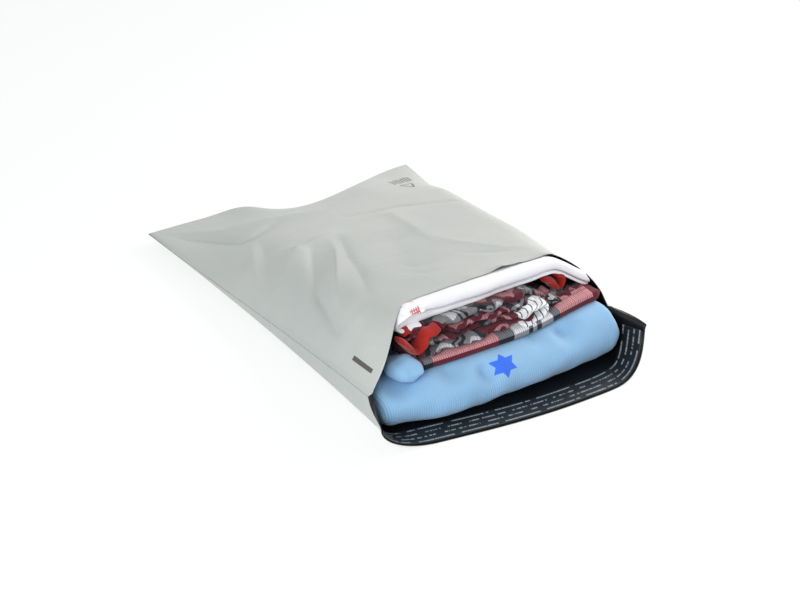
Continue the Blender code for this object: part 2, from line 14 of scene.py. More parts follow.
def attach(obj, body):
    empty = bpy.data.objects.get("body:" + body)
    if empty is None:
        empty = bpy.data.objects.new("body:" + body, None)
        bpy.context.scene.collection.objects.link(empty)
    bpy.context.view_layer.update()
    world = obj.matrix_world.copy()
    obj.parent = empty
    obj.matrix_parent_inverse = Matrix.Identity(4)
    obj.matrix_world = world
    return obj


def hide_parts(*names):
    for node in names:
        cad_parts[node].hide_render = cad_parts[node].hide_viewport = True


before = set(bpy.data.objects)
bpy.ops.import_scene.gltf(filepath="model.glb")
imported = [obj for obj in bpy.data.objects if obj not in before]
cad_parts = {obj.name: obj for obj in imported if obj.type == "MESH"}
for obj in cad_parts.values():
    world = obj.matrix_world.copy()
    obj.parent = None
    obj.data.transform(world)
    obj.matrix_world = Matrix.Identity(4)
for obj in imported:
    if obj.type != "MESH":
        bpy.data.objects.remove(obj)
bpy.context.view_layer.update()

# %% [markdown]
# The bag laid flat is a little over a third of a metre wide and half a metre long. What is
# inside takes up some of that, so the bag stands in from its flat size at the mouth. These
# sizes are the solid model's own, so that each finer mesh lies where its solid is. Only the
# film's droop and the bends of its left shoulder and right corner are drawn a few
# millimetres softer here.

# %% Driving sizes, in metres
BAG_WIDTH = 0.368
BAG_DEPTH = 0.483
LIP_DEPTH = 0.052
FILM = 0.0005
WELD = 0.006
SEAT = 0.0004
FILM_ROOM = 0.0012
TAKE_UP = 0.010
CLOSED_END_BOW = 0.033
FRONT_MOUTH_BOW = 0.050
BACK_MOUTH_BOW = 0.025
FLAT_HALF = 0.141
LIP_FLAT_HALF = {-1: 0.105, 1: 0.115}
BAG_CORNER = 3.6
LIP_CORNER = 2.0
END_EDGE_HEIGHT = 0.006
EAR_RISE = 0.009
EAR_HEIGHT = {-1: 0.015, 1: 0.007}
WELD_HEIGHT = {-1: 0.045, 1: 0.052}
EAR_FLATNESS = {-1: 0.15, 1: 0.55}
SHOULDER_BEND = {-1: 0.12, 1: 0.0}
LIP_FLARE = {-1: 0.018, 1: 0.015}
LIP_DROP = {-1: 0.012, 1: 0.009}
FIN_DROOP = radians(25)
FIN_ON_LIP = radians(75)
FRONT_END_ROUND = 0.060
BACK_END_ROUND = 0.045
SIDE_ROOM = 0.002
STACK_SHIFT = 0.002

BLUE_WIDTH, BLUE_LENGTH = 0.302, 0.356
PLAID_WIDTH, PLAID_LENGTH = 0.242, 0.306
WHITE_WIDTH, WHITE_LENGTH = 0.255, 0.288
MOUTH_THICK = (0.046, 0.040, 0.021)
REAR_THICK = (0.022, 0.016, 0.011)
LAYER_TILT = (0, 0.055, 0.030, 0)

PLAN_DEPTH = BAG_DEPTH - TAKE_UP
CLOSED_Y = (PLAN_DEPTH + BACK_MOUTH_BOW + LIP_DEPTH) / 2
WELD_END_Y = CLOSED_Y - PLAN_DEPTH
END_HALF = BAG_WIDTH / 2 - WELD * cos(FIN_DROOP)
MOUTH_HALF = {side: BLUE_WIDTH / 2 + SIDE_ROOM + side * STACK_SHIFT for side in (-1, 1)}
LIP_HALF = {side: MOUTH_HALF[side] + LIP_FLARE[side] for side in (-1, 1)}
STACK_FRONT_Y = WELD_END_Y + FRONT_MOUTH_BOW
BLUE_FRONT_Y = WELD_END_Y - 0.039
STACK_REAR_Y = BLUE_FRONT_Y + BLUE_LENGTH
PLAID_FRONT_Y = WELD_END_Y + 0.005
WHITE_FRONT_Y = WELD_END_Y + 0.030
WHITE_LEFT = -0.106
WHITE_RIGHT = WHITE_LEFT + WHITE_WIDTH
DROOP_START = WHITE_RIGHT - 0.051
DROOP_WIDTH = 0.055
DROOP_FADE = 0.120
WHITE_DROOP = 0.029
WHITE_REACH = 0.008
FILM_DROOP = 0.013
print("closed end at y", round(CLOSED_Y, 4), "and welds end at y", round(WELD_END_Y, 4))

# %% [markdown]
# The camera stands to the left of the mouth, about 32 degrees up, with a long lens. A long
# lens keeps the two ends of the bag nearly the same width, as a product photograph does.

# %% Camera
CAMERA_AZIMUTH = radians(-31.73)
CAMERA_ELEVATION = radians(31.96)
CAMERA_DISTANCE = 2.3356
CAMERA_TARGET = Vector((0.0087, 0.0054, 0))
LENS_MM = 90
SENSOR_MM = 36


def add_camera():
    level = cos(CAMERA_ELEVATION)
    back = Vector((sin(CAMERA_AZIMUTH) * level, -cos(CAMERA_AZIMUTH) * level, sin(CAMERA_ELEVATION)))
    camera = bpy.data.objects.new("camera", bpy.data.cameras.new("camera"))
    camera.data.lens = LENS_MM
    camera.data.sensor_width = SENSOR_MM
    camera.location = CAMERA_TARGET + back * CAMERA_DISTANCE
    camera.rotation_euler = back.to_track_quat("Z", "Y").to_euler()
    bpy.context.scene.collection.objects.link(camera)
    bpy.context.scene.camera = camera
    return camera


add_camera()
bpy.context.scene.view_settings.view_transform = "Standard"
print("camera at", bpy.context.scene.camera.location)

# %% [markdown]
# A finish is a small graph of nodes. Its maths could be added node by node, which is long to
# write and slow to read, so two small classes do it here. The first is a Wire, which is the
# output of one node. The usual signs between wires add the Math nodes.


# %% Wires
class Wire:
    """The output socket of one node, with arithmetic."""

    def __init__(self, finish, socket):
        self.finish = finish
        self.socket = socket

    def math(self, operation, *others, clamp=False):
        values = dict(enumerate((self, *others)))
        return self.finish.node("ShaderNodeMath", {"operation": operation, "use_clamp": clamp}, values)

    def __add__(self, other):
        return self.math("ADD", other)

    def __sub__(self, other):
        return self.math("SUBTRACT", other)

    def __rsub__(self, other):
        return self.finish.node("ShaderNodeMath", {"operation": "SUBTRACT"}, {0: other, 1: self})

    def __mul__(self, other):
        return self.math("MULTIPLY", other)

    def __truediv__(self, other):
        return self.math("DIVIDE", other)

    __radd__ = __add__
    __rmul__ = __mul__

    def above(self, level, soft):
        """0 below the level and 1 above it, over a soft width."""
        return self.finish.node(
            "ShaderNodeMapRange",
            {"interpolation_type": "SMOOTHSTEP"},
            {"Value": self, "From Min": level - soft / 2, "From Max": level + soft / 2},
        )

    def below(self, level, soft):
        return 1 - self.above(level, soft)

    def near(self, level, half, soft):
        """1 within half of the level."""
        return (self - level).math("ABSOLUTE").below(half, soft)


print("wires add, subtract, multiply and divide")

# %% [markdown]
# The second class is a Finish, which is one material with its nodes. Its node method takes a
# type of node, its settings and its sockets. Colours go through a Mix node, because a Math
# node would turn them grey. A number that is the same all over goes straight on the shader.


# %% Finishes
class Finish:
    """One material and the nodes that colour it."""

    def __init__(self, name):
        self.material = bpy.data.materials.new(name)
        self.material.use_nodes = True
        self.tree = self.material.node_tree
        self.shader = self.tree.nodes["Principled BSDF"]

    def feed(self, socket, value):
        if isinstance(value, Wire):
            self.tree.links.new(value.socket, socket)
        else:
            socket.default_value = value

    def node(self, kind, settings=None, inputs=None, output=0):
        made = self.tree.nodes.new(kind)
        for key, value in (settings or {}).items():
            if key == "stops":
                self.set_stops(made.color_ramp, value)
            else:
                setattr(made, key, value)
        for key, value in (inputs or {}).items():
            self.feed(made.inputs[key], value)
        return Wire(self, made.outputs[output])

    def set_stops(self, ramp, stops):
        while len(ramp.elements) < len(stops):
            ramp.elements.new(0.5)
        for element, (position, colour) in zip(ramp.elements, stops):
            element.position = position
            element.color = (*colour, 1)

    def split(self, vector):
        """The three numbers of a vector."""
        made = self.tree.nodes.new("ShaderNodeSeparateXYZ")
        self.feed(made.inputs[0], vector)
        return [Wire(self, out) for out in made.outputs]

    def join(self, x, y, z=0.0):
        return self.node("ShaderNodeCombineXYZ", None, {0: x, 1: y, 2: z})

    def place(self):
        return self.node("ShaderNodeTexCoord", None, None, "Object")

    def cloth_place(self):
        """The piece's own flat coordinates, in metres."""
        return self.node("ShaderNodeUVMap", {"uv_map": "flat"})

    def mix(self, share, one, other):
        """One colour going over to the other."""
        made = self.tree.nodes.new("ShaderNodeMix")
        made.data_type = "RGBA"
        self.feed(made.inputs["Factor"], share)
        self.feed(made.inputs[6], one if isinstance(one, Wire) else (*one, 1))
        self.feed(made.inputs[7], other if isinstance(other, Wire) else (*other, 1))
        return Wire(self, made.outputs[2])

    def noise(self, where, scale, detail=2.0, roughness=0.5, stretch=(1, 1, 1)):
        spot = self.node("ShaderNodeMapping", None, {"Vector": where, "Scale": stretch})
        look = {"Vector": spot, "Scale": scale, "Detail": detail, "Roughness": roughness}
        return self.node("ShaderNodeTexNoise", None, look)

    def coat(self, colour, roughness):
        """The colour and the roughness, as they change over the surface."""
        self.feed(self.shader.inputs["Base Color"], colour)
        self.feed(self.shader.inputs["Roughness"], roughness)

    def bump(self, height, strength, distance):
        bump = self.node("ShaderNodeBump", None, {"Height": height, "Strength": strength, "Distance": distance})
        self.feed(self.shader.inputs["Normal"], bump)

    def constants(self, **values):
        for key, value in values.items():
            self.shader.inputs[key.replace("_", " ")].default_value = value


def linear(red, green, blue):
    """A colour as a screen shows it (0 to 255), as the light values that a shader takes."""
    shares = [channel / 255 for channel in (red, green, blue)]
    return tuple(c / 12.92 if c <= 0.04045 else ((c + 0.055) / 1.055) ** 2.4 for c in shares)


print("a middle grey on the screen is", round(linear(128, 128, 128)[0], 3), "of white light")

# %% [markdown]
# The bag lies on a white studio sweep. The floor is one large sheet that catches a soft
# shadow. Stronger lamps would whiten it, but they would wash out the bag as well. So part of
# the floor's light is its own, seen by the camera and in reflections only.

# %% The floor
FLOOR_HALF = 6.0
FLOOR_DROP = 0.0004
FLOOR_GLOW = 0.74


def direct_rays(tree):
    """1 for the camera's own rays and for mirrored or transmitted ones, 0 for light on a surface."""
    path = tree.nodes.new("ShaderNodeLightPath")
    total = path.outputs["Is Camera Ray"]
    for name in ("Is Glossy Ray", "Is Transmission Ray"):
        larger = tree.nodes.new("ShaderNodeMath")
        larger.operation = "MAXIMUM"
        tree.links.new(total, larger.inputs[0])
        tree.links.new(path.outputs[name], larger.inputs[1])
        total = larger.outputs[0]
    return total


def add_floor():
    bm = bmesh.new()
    bmesh.ops.create_grid(bm, x_segments=1, y_segments=1, size=FLOOR_HALF)
    bmesh.ops.translate(bm, vec=(0, 0, -FLOOR_DROP), verts=bm.verts[:])
    mesh = bpy.data.meshes.new("floor")
    bm.to_mesh(mesh)
    bm.free()
    floor = bpy.data.objects.new("floor", mesh)
    bpy.context.scene.collection.objects.link(floor)
    finish = Finish("white sweep")
    finish.constants(Base_Color=(0.86, 0.87, 0.88, 1), Roughness=0.9)
    finish.constants(Specular_IOR_Level=0.0)
    glow = finish.node("ShaderNodeEmission", None, {"Color": (1, 1, 1, 1), "Strength": 1.05})
    body = Wire(finish, finish.shader.outputs[0])
    both = finish.node("ShaderNodeMixShader", None, {0: FLOOR_GLOW, 1: body, 2: glow})
    direct = Wire(finish, direct_rays(finish.tree))
    seen = finish.node("ShaderNodeMixShader", None, {0: direct, 1: body, 2: both})
    finish.feed(finish.tree.nodes["Material Output"].inputs["Surface"], seen)
    mesh.materials.append(finish.material)
    return floor


add_floor()
print("floor", 2 * FLOOR_HALF, "m across")

# %% [markdown]
# Large soft lamps and a pale world light the bag at a plain level. The key lamp stands low on
# the right, so that the creases in the film show. The fill on the left lights the film's
# flank and the garments' fronts, and the rear lamp only rounds off the closed end. Small
# lamps would draw the creases harder, with sharp shadows that a product table doesn't have.

# %% The lamps and the world
# Each lamp: its name, its power in watts, its width, its place and its colour
LAMPS = (
    ("key", 7.6, 0.6, (0.85, 0.05, 0.50), (1.0, 0.94, 0.895)),
    ("fill", 12.0, 0.9, (-1.10, -0.80, 0.70), (0.97, 1.0, 1.0)),
    ("rear", 2.0, 1.0, (1.6, 1.0, 1.0), (1.0, 1.0, 1.0)),
)
WORLD_COLOUR = (0.965, 0.99, 1.0, 1)
WORLD_STRENGTH = 0.63


def add_lamp(name, power, width, place, tint):
    """A square lamp aimed at the middle of the bag's footprint."""
    lamp = bpy.data.lights.new(name, "AREA")
    lamp.color = tint
    lamp.energy = power
    lamp.size = width
    made = bpy.data.objects.new(name, lamp)
    made.location = place
    made.rotation_euler = Vector(place).to_track_quat("Z", "Y").to_euler()
    bpy.context.scene.collection.objects.link(made)
    return made


def light_world():
    world = bpy.data.worlds.new("studio")
    world.use_nodes = True
    nodes, links = world.node_tree.nodes, world.node_tree.links
    nodes["Background"].inputs["Color"].default_value = WORLD_COLOUR
    nodes["Background"].inputs["Strength"].default_value = WORLD_STRENGTH
    white = nodes.new("ShaderNodeBackground")
    white.inputs["Color"].default_value = (1, 1, 1, 1)
    white.inputs["Strength"].default_value = 1.0
    mix = nodes.new("ShaderNodeMixShader")
    links.new(direct_rays(world.node_tree), mix.inputs[0])
    links.new(nodes["Background"].outputs[0], mix.inputs[1])
    links.new(white.outputs[0], mix.inputs[2])
    links.new(mix.outputs[0], nodes["World Output"].inputs["Surface"])
    bpy.context.scene.world = world


light_world()
for lamp in LAMPS:
    add_lamp(*lamp)
print("lit by", len(LAMPS), "lamps and the world")

# %% [markdown]
# The film has two panels. Each is a sheet of points over the table: how far across, how far
# along, and how high. The edges of the panels are curves, because a full bag draws its
# closed end in and bows its mouth. These functions give the edges and the height of the
# weld that joins the panels down each side.


# %% The bag's outline
def smooth_step(share):
    share = np.clip(share, 0, 1)
    return share * share * (3 - 2 * share)


def by_side(x, values):
    return np.where(np.asarray(x) < 0, values[-1], values[1])


def along(y):
    """0 at the closed end's corners, 1 where the side welds end at the mouth."""
    return np.clip((CLOSED_Y - y) / PLAN_DEPTH, 0, 1)


def half_width(x, y):
    mouth = by_side(x, MOUTH_HALF)
    return mouth + (END_HALF - mouth) * (1 - along(y)) ** 1.5


def weld_height(x, y):
    ear = by_side(x, EAR_HEIGHT)
    return ear + (by_side(x, WELD_HEIGHT) - ear) * along(y) ** 1.15


def layer_top(x, y, layers):
    """The top of the stack's first layers: a plane that falls to the rear and tilts across."""
    at_mouth = FILM + layers * SEAT + sum(MOUTH_THICK[:layers])
    at_rear = FILM + layers * SEAT + sum(REAR_THICK[:layers])
    share = (y - STACK_FRONT_Y) / (STACK_REAR_Y - STACK_FRONT_Y)
    return at_mouth + (at_rear - at_mouth) * share + LAYER_TILT[layers] * x * (1 - share)


def near_mouth(y):
    """1 in front of the front panel's edge, fading to 0 some way behind it."""
    return smooth_step(1 - (y - STACK_FRONT_Y) / DROOP_FADE)


def drooping(x):
    """0 over most of the mouth, rising to 1 at the white garment's right end."""
    return smooth_step((x - DROOP_START) / DROOP_WIDTH)


def end_edge_y(q):
    """The closed edge is drawn in most a little right of its middle."""
    left = np.clip((0.12 - q) / 1.12, 0, 1)
    right = np.clip((q - 0.12) / 0.88, 0, 1)
    return CLOSED_Y - CLOSED_END_BOW * (1 - left**2) ** 4.5 * (1 - right**2) ** 2.2


def end_edge_height(q, x, y):
    rise = EAR_RISE * np.exp(-(((q + 0.32) / 0.2) ** 2))
    return END_EDGE_HEIGHT + (weld_height(x, y) - END_EDGE_HEIGHT) * smooth_step(np.abs(q) / 0.45) + rise


def front_mouth_y(q):
    left = smooth_step((0.95 - np.abs(q)) / 0.47)
    right = np.sqrt(np.clip(1 - np.abs(q) ** 6, 0, 1))
    return WELD_END_Y + FRONT_MOUTH_BOW * np.where(q < 0, left, right)


def back_mouth_y(q):
    left = np.clip((0.4 - q) / 1.4, 0, 1)
    right = np.clip((q - 0.4) / 0.6, 0, 1)
    return WELD_END_Y - BACK_MOUTH_BOW * (1 - left**2) ** 1.7 * (1 - right**4)


print("mouth half widths", MOUTH_HALF)

# %% [markdown]
# Film keeps every fold that handling has pressed into it. A fold is drawn here as a run
# of points in plan with a height at each, a width on each side, and how sharp its crest is.
# Sharp crests with wide flanks look like the flat facets of stiff film, and soft ones like
# film that hangs loose. Letting cloth fall would crease the film somewhere, but only lines
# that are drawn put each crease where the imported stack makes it.

# %% Folds in the front panel
# Each fold: its run of (across, along, height) in millimetres, the two flanks' widths, sharpness
FOLDS = (
    # where the film folds down off the rear of the stack
    (
        [
            (-178, 268, 0), (-157, 245, -3), (-139, 221, -3.8), (-114, 174, -3.8),
            (-98, 168, -3.2), (-70, 178, -2.5), (-40, 187, 0),
        ],
        4, 13, 1.2,
    ),
    ([(-160, 262, 0), (-112, 210, 2.5), (-72, 200, 3.0), (-20, 185, 2.0), (10, 180, 0)], 12, 12, 1.4),
    ([(0, 142, 0), (15, 137, -1.4), (49, 127, -1.8), (77, 117, -1.8), (112, 97, -1.6), (150, 74, -1.2)], 3, 5, 1.1),
    # the dent beside the stack's left rear corner: its low line, its high edge and a furrow beyond
    (
        [
            (-58, 92, 0), (-74, 66, -3.5), (-92, 30, -5.5), (-116, -19, -6.5),
            (-127, -69, -6), (-133, -94, -4), (-137, -108, 0),
        ],
        17, 7, 1.3,
    ),
    ([(-36, 92, 0), (-56, 44, 3.5), (-80, 0, 4.5), (-108, -50, 4.5), (-121, -86, 4), (-129, -104, 0)], 12, 6, 1.0),
    ([(-26, 88, 0), (-31, 72, -2), (-52, 17, -3), (-69, -40, -3), (-90, -90, -2), (-104, -118, 0)], 5, 15, 1.1),
    ([(-31, 98, 2), (-58, 90, 3.5), (-84, 84, 2), (-96, 82, 0)], 9, 9, 1.0),
    ([(-124, -108, 0), (-116, -114, 2.2), (-106, -112, 0)], 7, 4, 1.1),
    # furrows on the left shoulder
    ([(-108, 150, 0), (-122, 122, 1.6), (-140, 81, 2.6), (-150, 46, 2.6), (-158, 20, 0)], 14, 5, 1.0),
    (
        [(-96, 152, 0), (-101, 137, -2), (-108, 118, -3.6), (-126, 76, -3.6), (-139, 40, -2), (-146, 24, 0)],
        12, 14, 1.2,
    ),
    ([(-78, 90, 0), (-88, 82, 3.0), (-118, 52, 3.2), (-138, 36, 2.2), (-148, 26, 0)], 24, 9, 1.0),
    ([(-96, 168, 0), (-122, 120, 1.4), (-146, 92, 1.4), (-158, 70, 0)], 12, 12, 1.3),
    # the right half is nearly flat, with shallow facets
    ([(34, 120, 0), (54, 97, 2.4), (46, 28, 2.4), (40, -40, 0)], 26, 9, 1.1),
    ([(20, 60, 0), (10, 20, -2.0), (-20, -60, -1.8), (-40, -95, 0)], 26, 26, 1.6),
    ([(41, 20, 0), (56, -38, 1.4), (85, -95, 1.0), (109, -129, 0)], 16, 6, 1.1),
    ([(45, -69, 0), (73, -103, -0.9), (106, -123, 0)], 3, 3, 1.1),
    ([(30, -58, 0), (55, -88, -0.8), (92, -112, 0)], 3, 3, 1.1),
    ([(-27, -41, 0), (-14, -68, -1.0), (12, -74, 0)], 4, 3, 1.1),
    ([(-44, -60, 0), (-20, -93, -0.9), (4, -102, 0)], 4, 3, 1.1),
    # by the mouth's left corner the film is pulled tight
    ([(-108, -110, 0), (-124, -140, 1.6), (-136, -175, 0)], 9, 5, 1.1),
    ([(-118, -100, 0), (-132, -130, -1.2), (-140, -160, 0)], 6, 6, 1.2),
    # the free edge lifts off the white garment here and there
    ([(44, -146, 3.2), (38, -128, 0)], 12, 14, 1.8),
    ([(66, -148, 1.2), (62, -134, 0)], 8, 8, 1.6),
    ([(106, -152, 1.6), (100, -134, 0)], 10, 10, 1.8),
    ([(8, -140, 1.0), (6, -126, 0)], 10, 10, 1.6),
)
MM = 0.001
RELIEF = 1.3


def fold_height(x, y, run, left_width, right_width, sharpness):
    """How high one fold lifts the panel at each point."""
    nearest = np.full(np.shape(x), 1.0)
    lift = np.zeros(np.shape(x))
    for (x1, y1, h1), (x2, y2, h2) in zip(run, run[1:]):
        dx, dy = (x2 - x1) * MM, (y2 - y1) * MM
        px, py = x - x1 * MM, y - y1 * MM
        share = np.clip((px * dx + py * dy) / (dx * dx + dy * dy), 0, 1)
        off = np.hypot(px - share * dx, py - share * dy)
        side = dx * py - dy * px
        width = np.where(side > 0, left_width, right_width) * MM
        closer = off < nearest
        nearest = np.where(closer, off, nearest)
        height = (h1 + (h2 - h1) * share) * MM
        lift = np.where(closer, height * np.exp(-((off / width) ** sharpness)), lift)
    return lift


def folds(x, y):
    return RELIEF * sum(fold_height(x, y, *fold) for fold in FOLDS)


print(len(FOLDS), "folds in the front panel")

# %% [markdown]
# The front panel rests on the garments and slopes from them to the welds, round a shoulder on
# each side. It dips to the closed edge on a quarter ellipse. A height for each place in plan
# is enough for it, because the panel nowhere folds over itself.


# %% The front panel as heights
def end_round(x, y, reach):
    """Rises from 0 at the closed edge to 1 at the reach inside it, on a quarter ellipse."""
    q = np.clip(np.abs(x) / half_width(x, y), 0, 1) * np.sign(x)
    inside = np.clip((end_edge_y(q) - y) / reach, 0, 1)
    return np.sqrt(1 - (1 - inside) ** 2)


def past(q, shoulder, x):
    """How far q is past the shoulder, from 0 at the middle, with a soft start on the left."""
    bend = by_side(x, SHOULDER_BEND)

    def rise(at):
        return (at - shoulder + np.hypot(at - shoulder, bend)) / 2

    return rise(q) - rise(0)


def ceiling(x, y, relief):
    """The inner face of the front panel."""
    t = along(y)
    q = np.clip(np.abs(x) / half_width(x, y), 0, 1)
    left_shoulder = 0.50 + 0.20 * t
    right_shoulder = 0.50 + 0.40 * smooth_step(t / 0.3) - 0.28 * t
    shoulder = np.where(np.asarray(x) < 0, left_shoulder, right_shoulder)
    power = np.where(np.asarray(x) < 0, 1.1, 2.2)
    down = np.clip(past(q, shoulder, x) / past(1, shoulder, x), 0, 1)
    slope = (1 - down**power) ** (1 / power)
    weld = weld_height(x, y)
    top = layer_top(x, y, 3) + SEAT - FILM_DROOP * drooping(x) * near_mouth(y)
    edge = end_edge_height(q * np.sign(x), x, y)
    flat_ear = by_side(x, EAR_FLATNESS) * smooth_step((q - 0.45) / 0.4) * smooth_step((0.32 - t) / 0.3)
    section = weld + (top - weld) * slope * (1 - flat_ear) + relief * np.minimum(1, (1 - q) / 0.12)
    return edge + (section - edge) * end_round(x, y, FRONT_END_ROUND)


print("the film is highest over the stack's front, at", round(float(ceiling(0.0, STACK_FRONT_Y, 0.0)), 4))

# %% [markdown]
# The back panel lies on the table and turns up at the sides to meet the welds. The lip is the
# same web past the mouth line. It lies out in front and turns up less and less to its edge.


# %% The back panel and the lip as heights
def turned_up(x, flat_half, half, height, power):
    """The height of a sheet that lies flat to flat_half and turns up to height at half."""
    corner = np.clip((np.abs(x) - flat_half) / (half - flat_half), 0, 1)
    return FILM + (height - FILM) * (1 - (1 - corner**power) ** (1 / power))


def bag_floor(x, y):
    """The inner face of the back panel."""
    return turned_up(x, FLAT_HALF, half_width(x, y), weld_height(x, y), BAG_CORNER)


def raised_floor(x, y):
    q = np.clip(np.abs(x) / half_width(x, y), 0, 1) * np.sign(x)
    edge = end_edge_height(q, x, y)
    return edge + (bag_floor(x, y) - edge) * end_round(x, y, BACK_END_ROUND)


def lip_point(q, w):
    """The lip's inner face: w runs from 0 at the mouth line to 1 at its edge."""
    mouth_half = by_side(q, MOUTH_HALF)
    half = mouth_half + (by_side(q, LIP_HALF) - mouth_half) * w
    height = by_side(q, WELD_HEIGHT) - by_side(q, LIP_DROP) * w
    flare = np.hypot(by_side(q, LIP_FLARE), by_side(q, LIP_DROP)) * q**4
    reach = np.sqrt(LIP_DEPTH**2 - flare**2)
    x = q * half
    y = back_mouth_y(q) - reach * w
    flat_half = FLAT_HALF + (by_side(q, LIP_FLAT_HALF) - FLAT_HALF) * w
    z = turned_up(x, flat_half, half, height, BAG_CORNER + (LIP_CORNER - BAG_CORNER) * w)
    return np.stack([x, y, np.where(np.abs(q) >= 1, height, z)], -1)


print("the lip's left corner is at", lip_point(-1.0, 1.0).round(4))

# %% [markdown]
# Each panel becomes rows of points from the closed edge to the mouth. Even rows would be
# simplest, but the sides bend far more than the middle, so rows and columns stand closer
# together where the film turns up.

# %% Rows of points over the panels
COLUMNS = 140
ROWS = 150
LIP_ROWS = 16


def even_columns():
    u = np.linspace(-1, 1, COLUMNS + 1)
    return (u + np.sin(u * pi / 2)) / 2


def corner_columns(flat_share, q_even):
    """Columns set closer round the turned-up corners of the back panel."""
    flat_columns = 0.55
    u = np.abs(np.linspace(-1, 1, COLUMNS + 1))
    turn = np.clip((u - flat_columns) / (1 - flat_columns), 0, 1) * pi / 2
    spread = np.where(
        u < flat_columns,
        flat_share * u / flat_columns,
        flat_share + (1 - flat_share) * np.sin(turn) ** 0.7,
    )
    return np.sign(q_even) * spread


def bag_rows():
    return np.linspace(0, 1, ROWS + 1) ** 1.2


def front_points():
    q = even_columns()
    rows = []
    for v in bag_rows():
        y = end_edge_y(q) + (front_mouth_y(q) - end_edge_y(q)) * v
        x = q * half_width(q, y)
        rows.append(np.stack([x, y, ceiling(x, y, folds(x, y))], -1))
    return np.array(rows)


def back_points():
    q_even = even_columns()
    rows = []
    for v in bag_rows():
        y = end_edge_y(q_even) + (back_mouth_y(q_even) - end_edge_y(q_even)) * v
        half = half_width(q_even, y)
        blend = smooth_step(v / 0.12)
        q = q_even + (corner_columns(FLAT_HALF / half, q_even) - q_even) * blend
        y = end_edge_y(q) + (back_mouth_y(q) - end_edge_y(q)) * v
        x = q * half
        rows.append(np.stack([x, y, raised_floor(x, y)], -1))
    return np.array(rows)


def lip_points():
    q_even = even_columns()
    q = corner_columns(FLAT_HALF / by_side(q_even, MOUTH_HALF), q_even)
    return np.array([lip_point(q, w) for w in np.linspace(0, 1, LIP_ROWS + 1)])


print("a panel has", (COLUMNS + 1) * (ROWS + 1), "points")


# %% [markdown]
# Outside each weld a narrow fin of film is left over. On the bag it droops, and on the lip,
# where there is only one layer, it stands up with the corner. The film's outer face is its
# inner face moved out along the surface's own direction, so that both stay parallel.


# %% The weld fins and the outer face
def fin_turns():
    """The fins lie level at the closed end, so that its corners stay sharp, and droop after it."""
    level = FIN_DROOP / (FIN_ON_LIP + FIN_DROOP)
    return level * (1 - smooth_step(bag_rows() / 0.15))


def with_fins(points, lift):
    """Adds the weld fin's outer column at each side; lift turns it from drooping to standing."""
    out = []
    for row, share in zip(points, lift):
        ends = []
        for side, at in ((-1, row[0]), (1, row[-1])):
            turn = -FIN_DROOP + share * (FIN_ON_LIP + FIN_DROOP)
            ends.append(at + WELD * np.array([side * cos(turn), 0, sin(turn)]))
        out.append(np.vstack([ends[0], row, ends[1]]))
    return np.array(out)


def grid_normals(points, upward):
    along_rows = np.gradient(points, axis=0)
    across = np.gradient(points, axis=1)
    normal = np.cross(across, along_rows)
    normal /= np.linalg.norm(normal, axis=2, keepdims=True)
    middle = normal[normal.shape[0] // 2, normal.shape[1] // 2, 2]
    return normal if (middle > 0) == upward else -normal


def arc_lengths(points, axis):
    """Each point's distance along its row or column from the first point."""
    steps = np.linalg.norm(np.diff(points, axis=axis), axis=2)
    total = np.cumsum(steps, axis=axis)
    pad = [(0, 0), (0, 0)]
    pad[axis] = (1, 0)
    return np.pad(total, pad)


print("a weld fin is", WELD, "m wide")

# %% [markdown]
# A sheet is made as a grid of faces, and each of its points is then moved to its place. The
# same grid gives each point a flat coordinate, in metres on the film or cloth laid flat,
# which a weave or a print then follows.


# %% From points to meshes
def add_sheet(bm, points, flat=None, material=0):
    """A grid of faces through rows of points, with its flat coordinates and its finish."""
    rows, columns = points.shape[:2]
    made = bmesh.ops.create_grid(bm, x_segments=columns - 1, y_segments=rows - 1, size=1)
    verts = made["verts"]
    layer = bm.loops.layers.uv.verify()
    where = {}
    for index, (vert, point) in enumerate(zip(verts, points.reshape(-1, 3))):
        vert.co = point
        where[vert] = index
    spots = np.zeros((rows * columns, 2)) if flat is None else flat.reshape(-1, 2)
    for face in {face for vert in verts for face in vert.link_faces}:
        face.material_index = material
        face.smooth = True
        for loop in face.loops:
            loop[layer].uv = spots[where[loop.vert]]


JOIN_WITHIN = 0.000002


def finish_piece(name, bm, materials):
    bmesh.ops.remove_doubles(bm, verts=bm.verts[:], dist=JOIN_WITHIN)
    bmesh.ops.recalc_face_normals(bm, faces=bm.faces[:])
    mesh = bpy.data.meshes.new(name)
    bm.to_mesh(mesh)
    bm.free()
    if mesh.uv_layers:
        mesh.uv_layers[0].name = "flat"
    for material in materials:
        mesh.materials.append(material)
    piece = bpy.data.objects.new(name, mesh)
    bpy.context.scene.collection.objects.link(piece)
    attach(piece, "root")
    print(name, "has", len(mesh.polygons), "faces")
    return piece


def close_ends(bm):
    """Joins the points that meet and closes the holes at a body's two ends."""
    bmesh.ops.remove_doubles(bm, verts=bm.verts[:], dist=JOIN_WITHIN)
    bmesh.ops.holes_fill(bm, edges=[edge for edge in bm.edges if edge.is_boundary], sides=0)


print("points within", JOIN_WITHIN, "m are joined")

# %% [markdown]
# Two marks are printed on the outside of the film: a bar near the mouth that the bag-making
# machine looks for, and a hollow triangle with a row of bars near the closed end. A picture
# could be wrapped on, but strokes worked out from the place on the bag stay sharp at any size.

# %% Printed marks
MARK_GREY = linear(72, 70, 66)
EYE_MARK = (-0.164, 0.0193, 0.0023)
EYE_HEIGHT = 0.0571
EYE_HEIGHT_AT = -0.1445
EYE_SLOPE = 0.004 / 0.038
TRIANGLE = ((0.1255, 0.194), (0.1445, 0.197), (0.1335, 0.174))
BAR_ROW = ((0.125, 0.213), (0.156, 0.222))


